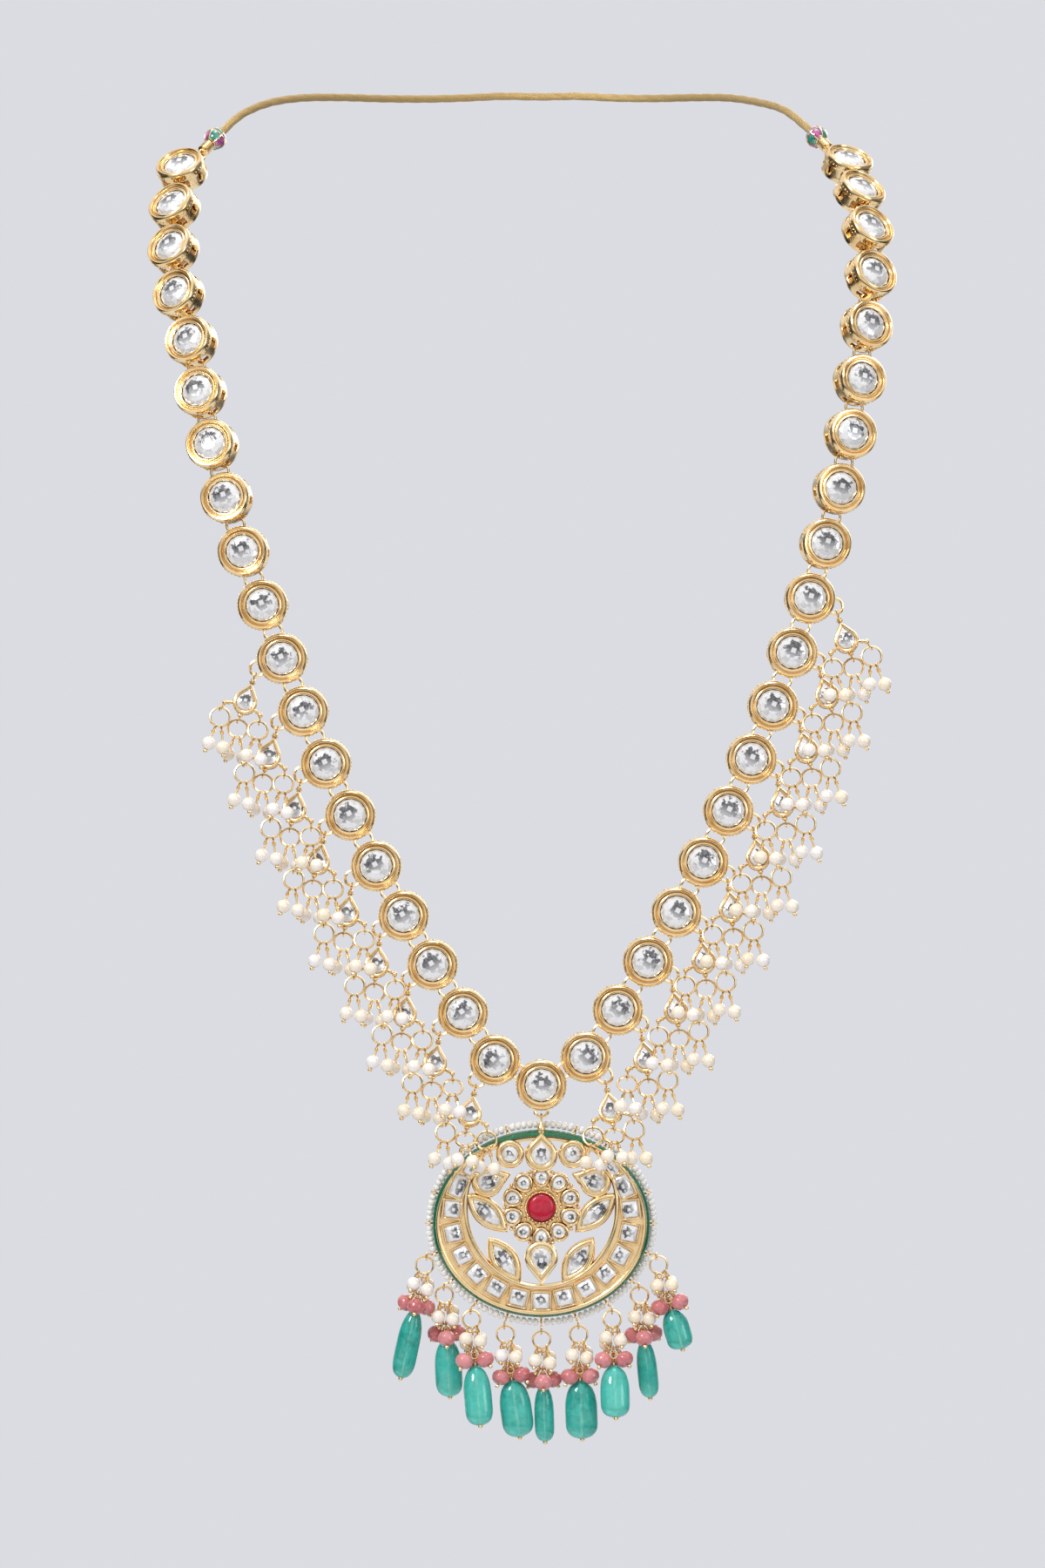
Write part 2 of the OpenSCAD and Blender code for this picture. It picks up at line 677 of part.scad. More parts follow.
module ring_and_eye() {
    translate([0, -FRINGE_RING_R, 0]) ring(FRINGE_RING_R, fine_wire);
    translate([0, -RING_BOTTOM - EYE_R, 0]) eyelet();
}

module cluster_pearls() {
    color(PEARL) each_cluster() {
        ring_and_eye();
        for (s = [-1, 1], f = [-1, 1])
            beaded_pin([s * 1.1, -RING_BOTTOM + 0.3, 0], [s * 1.75, -7.2 - 0.4 * s * f, f * 2.15], pearl_r, 0.5);
    }
}

module cluster_rose_beads() {
    color("#d97b86") each_cluster() translate([0, -ROSE_TOP, 0]) {
        ring_and_eye();
        for (a = [0, 120, 240]) {
            to = [2.95 * sin(a), -7, $c[3] * 2.95 * cos(a)];
            beaded_pin([0.9 * sin(a), 0.2 - RING_BOTTOM, 0], to, rose_r, 0.55);
        }
    }
}

// A tumbled stone: rounded ends, oval across, ten sides
module tumble(w, d, l) {
    levels = [
        [0, 0.2], [0.05, 0.44], [0.14, 0.76], [0.3, 0.96], [0.5, 1], [0.78, 0.97], [0.92, 0.8], [0.98, 0.54],
        [1, 0.3],
    ];
    rotate([90, 0, 0]) gem(oval_outline(w / 2, d / 2, 10), [for (v = levels) [v[0] * l, v[1]]]);
}

module teal_drops() {
    color("#2fb3a5") each_cluster() translate([0, -TEAL_EYE, 0]) {
        translate([0, -TEAL_LOOP, 0]) ring(TEAL_LOOP, fine_wire);
        bar([0, -2 * TEAL_LOOP, 0], [0, TEAL_EYE - TEAL_TOP - 0.5, 0], fine_wire);
        translate([0, TEAL_EYE - TEAL_TOP, 0]) tumble($c[4], $c[5], $c[6]);
        ball([0, TEAL_EYE - TEAL_TOP - $c[6] - 0.3, 0], 0.6);
    }
}

for (i = [1:LINKS]) link_setting(i);
link_stones();
link_rings();
pendant_ring();
neck_cord();
enamel_bead(-1);  // enamel_bead_left
enamel_bead(1);  // enamel_bead_right
cord_end(-1);  // cord_end_left
cord_end(1);  // cord_end_right
drop_settings();
drop_stones();
drop_hooks();
drop_pearls();
pendant_frame();
pendant_enamel();
pendant_ruby();
pendant_stones();
seed_bead_string();
cluster_pearls();
cluster_rose_beads();
teal_drops();
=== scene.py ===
"""Looks of the kundan necklace: set stones, wired pearls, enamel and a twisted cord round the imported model.

Sizes are in millimetres in the shapes' own frames and turn into metres when a mesh is made.
"""
import math
import random

import bmesh
import bpy
from mathutils import Matrix, Vector


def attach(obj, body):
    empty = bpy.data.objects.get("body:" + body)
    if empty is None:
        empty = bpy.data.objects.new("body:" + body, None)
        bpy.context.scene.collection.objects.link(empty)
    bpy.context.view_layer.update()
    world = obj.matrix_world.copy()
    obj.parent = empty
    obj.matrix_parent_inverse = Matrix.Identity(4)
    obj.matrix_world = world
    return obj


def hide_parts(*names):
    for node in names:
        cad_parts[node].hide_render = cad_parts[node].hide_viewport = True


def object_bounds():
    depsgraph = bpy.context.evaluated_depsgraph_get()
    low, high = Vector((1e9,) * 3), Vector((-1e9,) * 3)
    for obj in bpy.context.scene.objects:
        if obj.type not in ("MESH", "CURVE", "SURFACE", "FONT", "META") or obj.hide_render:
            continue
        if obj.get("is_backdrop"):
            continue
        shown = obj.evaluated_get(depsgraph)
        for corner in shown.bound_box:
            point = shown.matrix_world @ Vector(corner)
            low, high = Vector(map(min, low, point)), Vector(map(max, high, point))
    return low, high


bl_info = {
    "name": "Kundan necklace",
    "version": (1, 0, 0),
    "blender": (4, 5, 0),
    "location": "View3D > Sidebar > Necklace",
    "description": "Builds a stone-set necklace with pearl drops and a crescent pendant",
    "category": "Object",
}

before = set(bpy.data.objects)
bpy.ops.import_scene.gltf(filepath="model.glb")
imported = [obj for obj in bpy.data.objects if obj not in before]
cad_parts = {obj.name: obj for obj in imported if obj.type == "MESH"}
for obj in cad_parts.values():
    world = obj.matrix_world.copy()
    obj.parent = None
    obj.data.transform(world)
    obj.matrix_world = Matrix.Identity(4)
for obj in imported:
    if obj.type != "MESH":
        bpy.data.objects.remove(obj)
CAD_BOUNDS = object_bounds()

MM = 0.001
SEED = 7

# The chain, as the part's source lays it out. Columns: steps, heading from and to, slope to
# the back from and to, roll from and to, in degrees.
SIDE_LINKS = 19
LINKS = 2 * SIDE_LINKS + 1
CENTRE = SIDE_LINKS + 1
PITCH = 13.6
CENTRE_PITCH = 12.6
CHAIN_FRONT = 115
CHAIN_LOW = 252
LEFT_CHAIN = [
    (1, 62, 62, 0, 0, 0, 0),
    (9, 34, 20, 0, 0, 0, 2),
    (5, 20, 11, 2, 19, 5, 20),
    (4, 16, -6, 25, 41, 24, 30),
    (1, -38, -38, 40, 40, 30, 30),
]
RIGHT_CHAIN = [
    (1, 58, 58, 0, 0, 0, 0),
    (9, 34, 18, 0, 0, 0, 2),
    (5, 16, 8, 2, 13, 7, 24),
    (4, 6, -15, 21, 52, 28, 36),
    (1, -37, -37, 45, 45, 36, 36),
]
LINK_R = 6.0
HOLD_R = 4.65
LINK_WIRE = 0.35
HOOK_R = 1.85
HOOK_AT = 6.4
EYE_R = 0.8
FINE_WIRE = 0.26
PENDANT_RING_R = 1.6
PENDANT_RING_AT = 6.15

# A drop hangs from its top eyelet to -y and faces +z
PEAR_R = 2.95
PEAR_TIP = 4.9
PEAR_AT = -7.0
SIDE_BALL = (4.5, -1.7)
SIDE_EYE = (4.81, PEAR_AT - 3.17)
LOW_EYE = (0.0, -11.5)
DROP_RING_R = 2.35
# How each drop hangs: swing and tilt of the setting, then of its inner, lower and outer pearls
LEFT_HANG = [
    (12, 21, 0, 25, 1, 48, 8, 15),
    (9, 12, 0, 40, 0, -22, 2, 11),
    (8, 12, 2, 20, 2, -22, 4, 11),
    (6, 12, 0, 20, 1, -22, 2, 11),
    (9, 12, 2, 20, 2, -22, 4, 11),
    (14, 12, 4, 20, 2, -22, 6, 11),
    (12, 12, 2, 20, 2, -22, 4, 11),
    (16, 12, 6, 20, 4, -22, 6, 11),
    (20, 12, 8, 20, 6, -22, 8, 11),
]
RIGHT_HANG = [
    (10, 21, 0, 25, 1, 48, 8, 15),
    (8, 12, 0, 40, 2, -22, 4, 11),
    (8, 12, 2, 20, 2, -22, 4, 11),
    (6, 12, 0, 20, 1, -22, 2, 11),
    (6, 12, 2, 20, 2, -22, 4, 11),
    (9, 12, 4, 20, 2, -22, 6, 11),
    (10, 12, 4, 20, 4, -22, 6, 11),
    (14, 12, 6, 20, 4, -22, 6, 11),
    (16, 12, 6, 20, 6, -22, 8, 11),
    (18, 12, 8, 20, 8, -22, 10, 11),
]
# Degrees from the foot of a drop's ring to each of its two pins
PIN_SPREAD = 17

# The pendant, from the middle of its rim, +y up and facing +z
PENDANT_DROP = 25.5
RIM = (25.2, 21.6)
BODY_BACK = -2.6
CHANNEL = (-1.6, 0.7)
RIM_FRONT = 2.3
HOLLOW = (17.6, 18.8, 4.2)
FLOWER = 4.0
RUBY_R = 3.3
PETALS = 10
PETAL_AT = 7.0
STRING = (26.8, 23.7, -2.1)
# The crescent's tips, in degrees above the horizontal
CRESCENT_END = 61.2
CRESCENT_STEPS = 150
STRING_STEPS = 160
PEGS = 20
PEG_EYE = 2.15
# Degrees from a peg to its first seed bead, and from bead to bead
FIRST_BEAD = 2.9
BEAD_STEP = 3.05
BEADS_TO_A_PEG = 5
HUB_GRAINS = 26
GRAINS_AT = (8.9, 4.7)
# Cells, the right-hand ones drawn and mirrored: shape, x, y, turn, size, second size, height
CELLS = [
    ("pear", 0, 16.4, 0, 3.9, 5.5, 2.2),
    ("pear", 0, -8, 180, 4, 6.4, 2.2),
    ("round", 7.5, 16.7, 0, 3.4, 0, 1.9),
    ("pear", 13, 10, 71, 3.7, 6.1, 2),
    ("lens", 13, 2.7, -47, 13.6, 6.3, 2.1),
    ("lens", 8.8, -8.7, -35, 13.4, 6.6, 2),
]
# Square stones of the crescent: x, y, turn, width, height
CRESCENT_STONES = [
    (0, -18.3, 0, 3.3, 3.3),
    (5.5, -17.5, 14, 3.3, 3.3),
    (10.8, -15.2, 30, 3.3, 3.3),
    (15.4, -11.8, 46, 3.3, 3.3),
    (18.9, -7.4, 62, 3.3, 3.3),
    (21, -2.1, 78, 3.3, 3.3),
    (21.3, 3.6, 96, 3.3, 3.3),
    (19.8, 9.2, 112, 4.6, 2.9),
    (16.5, 13.9, 126, 4.2, 2.0),
]
# Fringe: peg angle, swing, tilt, way the rose beads stand, then width, depth, length of the drop
FRINGE = [
    (-162, -12, 0, 1, 5.6, 4.6, 16.4),
    (-144, 3, -10, 1, 6.6, 5, 14),
    (-126, 5, 10, -1, 6.7, 5, 14.2),
    (-108, 8, 0, -1, 7.6, 5.4, 13.6),
    (-90, 2, -2, 1, 4.8, 4.4, 13.4),
    (-72, 2, 0, -1, 7.8, 5.4, 13.8),
    (-54, 2, 14, -1, 7, 5.2, 12.4),
    (-36, 6, -7, 1, 4.9, 4.4, 14),
    (-18, 16, 8, -1, 6.3, 4.8, 9.6),
]
FRINGE_RING_R = 2.1
RING_BOTTOM = 2 * FRINGE_RING_R
ROSE_R = 2.15
ROSE_TOP = RING_BOTTOM + EYE_R
TEAL_EYE = ROSE_TOP + RING_BOTTOM + EYE_R
TEAL_LOOP = 0.75
TEAL_TOP = TEAL_EYE + 2 * TEAL_LOOP + 1.7

# The neck cord, from the left bead to the right one
CORD = [
    (-75, -55, -12), (-68.5, -47, -8), (-60.5, -38, -5.5), (-51, -28, -4),
    (-41, -18.5, -3), (-30, -10.5, -2), (-20, -5, -1), (-10, -1, 0),
    (0, 0, 0), (10, -1, 0), (20, -5, -1), (30, -11.5, -2),
    (39.5, -20.5, -3), (48, -31, -4.5), (55, -41.5, -7), (61.5, -52, -10.5),
]
END_EYE = PITCH - HOLD_R
CRIMP = (END_EYE + 0.9, END_EYE + 4)
BEAD_R = 2.7
BEAD_AT = CRIMP[1] + BEAD_R + 0.2


def cosd(a):
    return math.cos(math.radians(a))


def sind(a):
    return math.sin(math.radians(a))


# The chain's layout


def step_value(table, k, column):
    for row in table:
        if k <= row[0]:
            share = (k - 1) / (row[0] - 1) if row[0] > 1 else 0
            return row[column] + (row[column + 1] - row[column]) * share
        k -= row[0]
    raise ValueError("the chain has no such step")


def chain_table(side):
    return LEFT_CHAIN if side < 0 else RIGHT_CHAIN


def step_dir(side, k):
    heading, slope = step_value(chain_table(side), k, 1), step_value(chain_table(side), k, 3)
    return Vector((side * sind(heading) * cosd(slope), sind(slope), cosd(heading) * cosd(slope)))


def link_places():
    places = {CENTRE: Vector((0, -CHAIN_FRONT, -CHAIN_LOW))}
    for side in (-1, 1):
        p = places[CENTRE]
        for k in range(1, SIDE_LINKS + 1):
            p = p + (CENTRE_PITCH if k == 1 else PITCH) * step_dir(side, k)
            places[CENTRE + side * k] = p
    return places


PLACES = link_places()


def side_of(i):
    return (i > CENTRE) - (i < CENTRE)


def along(i):
    if i == CENTRE:
        return Vector((0, 0, 1))
    side, k = side_of(i), abs(i - CENTRE)
    return (step_dir(side, k) + step_dir(side, k + 1)).normalized()


def facing(i):
    t, side = along(i), side_of(i)
    n = (Vector((0, -1, 0)) + t.y * t).normalized()
    roll = step_value(chain_table(side), abs(i - CENTRE), 5) if side else 0
    return n * cosd(roll) + side * t.cross(n) * sind(roll)


def frame_matrix(x, y, z, p):
    m = Matrix((x, y, z)).transposed().to_4x4()
    m.translation = p
    return m


def link_frame(i):
    y, z = along(i), facing(i)
    return frame_matrix(y.cross(z), y, z, PLACES[i])


def local_angle(i, v):
    y, z = along(i), facing(i)
    return math.degrees(math.atan2(v.dot(y), v.dot(y.cross(z))))


def post_ends(i):
    """The local angles of the posts that hold the rings below and above a link."""
    if i == CENTRE:
        return local_angle(i, step_dir(1, 1)), local_angle(i, step_dir(-1, 1))
    side, k = side_of(i), abs(i - CENTRE)
    return local_angle(i, -step_dir(side, k)), local_angle(i, step_dir(side, k + 1))


def post_angles(i):
    a, b = post_ends(i)
    if i == CENTRE:
        spans = [(a, b, 3), (b, 270, 3), (270, a + 360, 3)]
    else:
        spans = [(a, b, 4), (b, a + 360, 4)]
    return [s + (e - s) * j / n for s, e, n in spans for j in range(n)]


def moved(p):
    return Matrix.Translation(Vector(p))


def turned(axis, angle):
    return Matrix.Rotation(math.radians(angle), 4, axis)


UPRIGHT = turned("X", 90)


def drops():
    """Side, place from the centre link and hang of every drop."""
    for side, table in ((-1, LEFT_HANG), (1, RIGHT_HANG)):
        for k, hang in enumerate(table, 1):
            yield side, k, hang


def hook_place(side, k):
    i = CENTRE + side * k
    a = (sum(post_ends(i)) + (360 if side < 0 else 0)) / 2
    y = along(i)
    return PLACES[i] + HOOK_AT * (cosd(a) * y.cross(facing(i)) + sind(a) * y)


def hung(side, swing, tilt):
    return UPRIGHT @ turned("Z", side * swing) @ turned("X", -tilt)


def drop_frame(side, k, hang):
    top = hook_place(side, k) + hung(side, hang[0], 0) @ Vector((0, -HOOK_R, 0))
    return moved(top) @ hung(side, hang[0], hang[1])


def pearl_frames():
    """The frame of every ring of pearls: inner, lower and outer on each drop."""
    for side, k, hang in drops():
        setting = drop_frame(side, k, hang)
        for j in range(3):
            eye = LOW_EYE if j == 1 else (side * (j - 1) * SIDE_EYE[0], SIDE_EYE[1])
            p = setting @ Vector((*eye, 0))
            yield moved(p) @ hung(side, hang[2 + 2 * j], hang[3 + 2 * j])


PIVOT = PLACES[CENTRE] - Vector((0, 0, PENDANT_RING_AT + PENDANT_RING_R))
PENDANT = moved(PIVOT) @ UPRIGHT @ moved((0, -PENDANT_DROP, 0))


def on_string(a):
    return Vector((STRING[0] * cosd(a), STRING[1] * sind(a), STRING[2]))


def string_out(a):
    return Vector((STRING[1] * cosd(a), STRING[0] * sind(a), 0)).normalized()


def string_frame(a):
    """x along the string, y outward from the pendant."""
    y, z = string_out(a), Vector((0, 0, 1))
    return PENDANT @ frame_matrix(y.cross(z), y, z, on_string(a))


def fringe_frames():
    for row in FRINGE:
        top = on_string(row[0]) + PEG_EYE * string_out(row[0])
        yield row, PENDANT @ moved(top) @ turned("Z", row[1]) @ turned("X", -row[2])


def end_frame(side):
    i = 1 if side < 0 else LINKS
    z, n = step_dir(side, SIDE_LINKS + 1), facing(i)
    x = (n - n.dot(z) * z).normalized()
    return frame_matrix(x, z.cross(x), z, PLACES[i])


def cord_path():
    """The cord's line: the listed points between its two ends, softened as in the source."""
    ends = (CRIMP[0] + 1, BEAD_AT, BEAD_AT + BEAD_R + 0.5)
    points = [end_frame(-1) @ Vector((0, 0, d)) for d in ends]
    points += [Vector(p) for p in CORD]
    points += [end_frame(1) @ Vector((0, 0, d)) for d in reversed(ends)]
    last = len(points) - 1
    path = []
    for i in range(last):
        a, b, c, d = points[max(i - 1, 0)], points[i], points[i + 1], points[min(i + 2, last)]
        for j in range(12):
            t = j / 12
            path.append((2 * b + (c - a) * t + (2 * a - 5 * b + 4 * c - d) * t * t
                         + (3 * b - a - 3 * c + d) * t ** 3) / 2)
    return path + [points[last]]


# Shapes are pairs of corners and faces, in millimetres


def circle(r, n, z=0.0):
    return [(r * math.cos(math.tau * j / n), r * math.sin(math.tau * j / n), z) for j in range(n)]


def wall_between(a, b):
    """Faces between two rows of corner numbers of one length, a pole being one number repeated."""
    n = len(a)
    quads = ([a[j], a[(j + 1) % n], b[(j + 1) % n], b[j]] for j in range(n))
    return [q for q in (list(dict.fromkeys(quad)) for quad in quads) if len(q) > 2]


def lathe(profile, n, loop=False):
    """Turns a profile of (radius, height) round z. A loop's end joins its start."""
    corners, rows = [], []
    for r, z in profile:
        if r < 1e-6:
            rows.append([len(corners)] * n)
            corners.append((0, 0, z))
        else:
            rows.append(list(range(len(corners), len(corners) + n)))
            corners += circle(r, n, z)
    faces = []
    for a, b in zip(rows, rows[1:] + rows[:1] if loop else rows[1:]):
        faces += wall_between(a, b)
    if not loop:
        faces += [row for row in (rows[0], rows[-1]) if row[0] != row[1]]
    return corners, faces


def loft(rings, loop=False):
    """Joins rings of corners of one length, and closes both ends."""
    n = len(rings[0])
    corners = [p for ring in rings for p in ring]
    rows = [list(range(j * n, (j + 1) * n)) for j in range(len(rings))]
    faces = []
    for a, b in zip(rows, rows[1:] + rows[:1] if loop else rows[1:]):
        faces += wall_between(a, b)
    if not loop:
        faces += [rows[0], rows[-1]]
    return corners, faces


def put(m, shape):
    return [m @ Vector(p) for p in shape[0]], shape[1]


def joined(shapes):
    corners, faces = [], []
    for c, f in shapes:
        start = len(corners)
        corners += c
        faces += [[i + start for i in face] for face in f]
    return corners, faces


def mirrored(half, middle=()):
    """A profile whose upper half repeats the lower one."""
    return [*half, *middle, *((r, -z) for r, z in reversed(half))]


def torus(r, wire, n, m):
    section = [(r + x, z) for x, z, _ in circle(wire, m)]
    return lathe(section, n, True)


def ball(p, r, n=12, m=7, squash=1.0):
    arc = [(r * math.sin(math.pi * j / m), -squash * r * math.cos(math.pi * j / m)) for j in range(m + 1)]
    arc[0], arc[-1] = (0, arc[0][1]), (0, arc[-1][1])
    return put(moved(p), lathe(arc, n))


def axis_matrix(a, u, side=(1, 0, 0)):
    """A frame at a whose z runs along u and whose x is near side."""
    z = Vector(u).normalized()
    x = Vector(side) - Vector(side).dot(z) * z
    if x.length < 0.1:
        x = Vector((0, 0, 1)) - z.z * z
    x.normalize()
    return frame_matrix(x, z.cross(x), z, Vector(a))


def rod(a, b, r, n=6):
    a, b = Vector(a), Vector(b)
    length = (b - a).length
    return put(axis_matrix(a, b - a), lathe([(r, 0), (r, length)], n))


def spindle(a, b, profile, n=14):
    """Turns a profile of (radius, share of the way) from a to b."""
    a, b = Vector(a), Vector(b)
    length = (b - a).length
    return put(axis_matrix(a, b - a), lathe([(r, t * length) for r, t in profile], n))


def eyelet():
    return put(turned("Y", 90), torus(EYE_R, FINE_WIRE, 14, 6))


def pear_outline(r, d, n):
    start = math.degrees(math.asin(r / d))
    sweep = [start - (180 + 2 * start) * i / n for i in range(n + 1)]
    return [(0.0, d)] + [(r * cosd(a), r * sind(a)) for a in sweep]


def lens_outline(length, w, n):
    half = [(-length / 2 + length * i / n) for i in range(n)]
    out = [(w / 2 * (1 - (2 * y / length) ** 2), y) for y in half]
    return out + [(-x, -y) for x, y in out]


def round_outline(r, n):
    return [(x, y) for x, y, _ in circle(r, n)]


def square_outline(w, h, c):
    corners = [(w / 2, h / 2 - c), (w / 2 - c, h / 2), (c - w / 2, h / 2), (-w / 2, h / 2 - c)]
    return corners + [(-x, -y) for x, y in corners]


def inset(outline, d):
    """Moves an outline inward by d."""
    area = sum(a[0] * b[1] - b[0] * a[1] for a, b in zip(outline, outline[1:] + outline[:1]))
    sign = 1 if area > 0 else -1
    out, n = [], len(outline)
    for i in range(n):
        a, b, c = Vector(outline[i - 1]), Vector(outline[i]), Vector(outline[(i + 1) % n])
        e, f = (b - a).normalized(), (c - b).normalized()
        m = Vector((-e.y, e.x)) + Vector((-f.y, f.x))
        m = m / max(m.length_squared / 2, 0.55)
        out.append(tuple(b + sign * d * m))
    return out


def raised(outline, levels):
    """A closed form from an outline: levels of (inset, height), both ends closed."""
    return loft([[(x, y, z) for x, y in inset(outline, d)] for d, z in levels])


def bezel(outline, low, high, wall):
    """A rounded gold collar with a step down to the stone it holds."""
    levels = [(0.12, low), (0, low + 0.12), (0, high - 0.75), (0.09, high - 0.32), (0.3, high - 0.06),
              (0.5, high), (0.68, high - 0.1), (0.78, high - 0.34), (0.86, high - 0.38), (1.0, high - 0.62),
              (1.06, high - 1.25)]
    return raised(outline, [(d * wall, z) for d, z in levels])


def cut_stone(outline, low, girdle, high, table=0.46):
    """A stone with triangular crown facets and a flat table."""
    n = len(outline)
    mid = [((outline[i][0] + outline[(i + 1) % n][0]) / 2, (outline[i][1] + outline[(i + 1) % n][1]) / 2)
           for i in range(n)]
    rise = high - girdle
    rings = [
        [(0.9 * x, 0.9 * y, low) for x, y in outline],
        [(x, y, girdle) for x, y in outline],
        [(0.8 * x, 0.8 * y, girdle + 0.62 * rise) for x, y in mid],
        [(table * x, table * y, high) for x, y in outline],
    ]
    corners = [p for ring in rings for p in ring]
    faces = [[i, (i + 1) % n, n + (i + 1) % n, n + i] for i in range(n)]
    for i in range(n):
        k, before = (i + 1) % n, (i - 1) % n
        faces += [[n + i, n + k, 2 * n + i], [n + i, 2 * n + i, 2 * n + before]]
        faces += [[2 * n + i, 3 * n + k, 3 * n + i], [2 * n + before, 2 * n + i, 3 * n + i]]
    return corners, faces + [list(range(n)), list(range(3 * n, 4 * n))]


# Meshes and pieces


def mark(mesh, spots):
    """Gives every corner the place that its finish's pattern follows."""
    data = mesh.attributes.new("face", "FLOAT_VECTOR", "POINT").data
    for spot, value in zip(data, spots):
        spot.vector = value


def make_mesh(name, shape, crease=38, face=None, smooth=True, tones=None):
    """A mesh in metres with outward faces, creased at sharp edges. face divides x and y for the
    attribute that a stone's pattern follows; tones gives every corner its shade."""
    mesh = bpy.data.meshes.new(name)
    mesh.from_pydata([tuple(c * MM for c in p) for p in shape[0]], [], shape[1])
    if face:
        mark(mesh, [(p[0] / face[0], p[1] / face[0], p[2] / face[1]) for p in shape[0]])
    if tones is not None:
        shades = mesh.attributes.new("tone", "FLOAT", "POINT")
        for shade, t in zip(shades.data, tones):
            shade.value = t
    made = bmesh.new()
    made.from_mesh(mesh)
    bmesh.ops.recalc_face_normals(made, faces=made.faces)
    for f in made.faces:
        f.smooth = smooth
    for e in made.edges:
        e.smooth = not e.is_manifold or e.calc_face_angle(0) < math.radians(crease)
    made.to_mesh(mesh)
    made.free()
    return mesh


def finished(mesh, name, body, replaced=(), material=None):
    """Makes a mesh a piece of the scene, on a body and in place of CAD nodes."""
    piece = bpy.data.objects.new(name, mesh)
    bpy.context.scene.collection.objects.link(piece)
    if material:
        mesh.materials.clear()
        mesh.materials.append(material)
    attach(piece, body)
    if replaced:
        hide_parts(*replaced)
    return piece


def strewing_tree():
    """Geometry Nodes that set a shape on every point of a mesh, with that point's turn and size."""
    tree = bpy.data.node_groups.get("Strewn shapes")
    if tree:
        return tree
    tree = bpy.data.node_groups.new("Strewn shapes", "GeometryNodeTree")
    sockets = [("Geometry", "OUTPUT", "NodeSocketGeometry"), ("Places", "INPUT", "NodeSocketGeometry"),
               ("Shape", "INPUT", "NodeSocketObject"), ("Size", "INPUT", "NodeSocketFloat"),
               ("Finish", "INPUT", "NodeSocketMaterial")]
    for name, way, kind in sockets:
        tree.interface.new_socket(name, in_out=way, socket_type=kind)
    made = Nodes(tree)
    given = made.add("NodeGroupInput").outputs
    shape = made.add("GeometryNodeObjectInfo", {"Object": given["Shape"]}).outputs["Geometry"]
    turn, grow = (made.add("GeometryNodeInputNamedAttribute", data_type="FLOAT_VECTOR", Name=name)
                  .outputs["Attribute"] for name in ("turn", "grow"))
    way = made.add("FunctionNodeEulerToRotation", {0: turn}).outputs[0]
    size = made.add("ShaderNodeVectorMath", {0: grow, "Scale": given["Size"]}, operation="SCALE").outputs[0]
    strew = made.add("GeometryNodeInstanceOnPoints", {"Points": given["Places"], "Instance": shape,
                                                      "Rotation": way, "Scale": size})
    real = made.add("GeometryNodeRealizeInstances", {"Geometry": strew.outputs["Instances"]})
    finish = made.add("GeometryNodeSetMaterial", {"Geometry": real.outputs["Geometry"],
                                                  "Material": given["Finish"]})
    made.add("NodeGroupOutput", {"Geometry": finish.outputs["Geometry"]})
    return tree


def strewn(template, places, material):
    """A plain mesh of the template at every place: a frame, a size and a shade between 0 and 1."""
    points = bpy.data.meshes.new("places")
    points.from_pydata([m.translation * MM for m, _, _ in places], [], [])
    for name, kind in (("turn", "FLOAT_VECTOR"), ("grow", "FLOAT_VECTOR"), ("tone", "FLOAT")):
        points.attributes.new(name, kind, "POINT")
    turn, grow, tone = (points.attributes[name].data for name in ("turn", "grow", "tone"))
    for i, (m, size, shade) in enumerate(places):
        turn[i].vector = m.to_3x3().normalized().to_euler("XYZ")
        grow[i].vector = (size, size, size)
        tone[i].value = shade
    if not template.materials:
        template.materials.append(material)
    shape = bpy.data.objects.new("shape", template)
    field = bpy.data.objects.new("field", points)
    for o in (shape, field):
        bpy.context.scene.collection.objects.link(o)
    tree = strewing_tree()
    nodes = field.modifiers.new("Strewn shapes", "NODES")
    nodes.node_group = tree
    values = {"Shape": shape, "Size": 1.0, "Finish": material}
    for item in tree.interface.items_tree:
        if item.name in values:
            nodes[item.identifier] = values[item.name]
    graph = bpy.context.evaluated_depsgraph_get()
    made = field.evaluated_get(graph)
    mesh = bpy.data.meshes.new_from_object(made, preserve_all_data_layers=True, depsgraph=graph)
    for o in (field, shape):
        bpy.data.objects.remove(o)
    return mesh


def merged(name, meshes):
    """One mesh of several, which keep their attributes."""
    made = bmesh.new()
    for mesh in meshes:
        made.from_mesh(mesh)
    out = bpy.data.meshes.new(name)
    made.to_mesh(out)
    made.free()
    out.materials.append(meshes[0].materials[0])
    return out


# Finishes


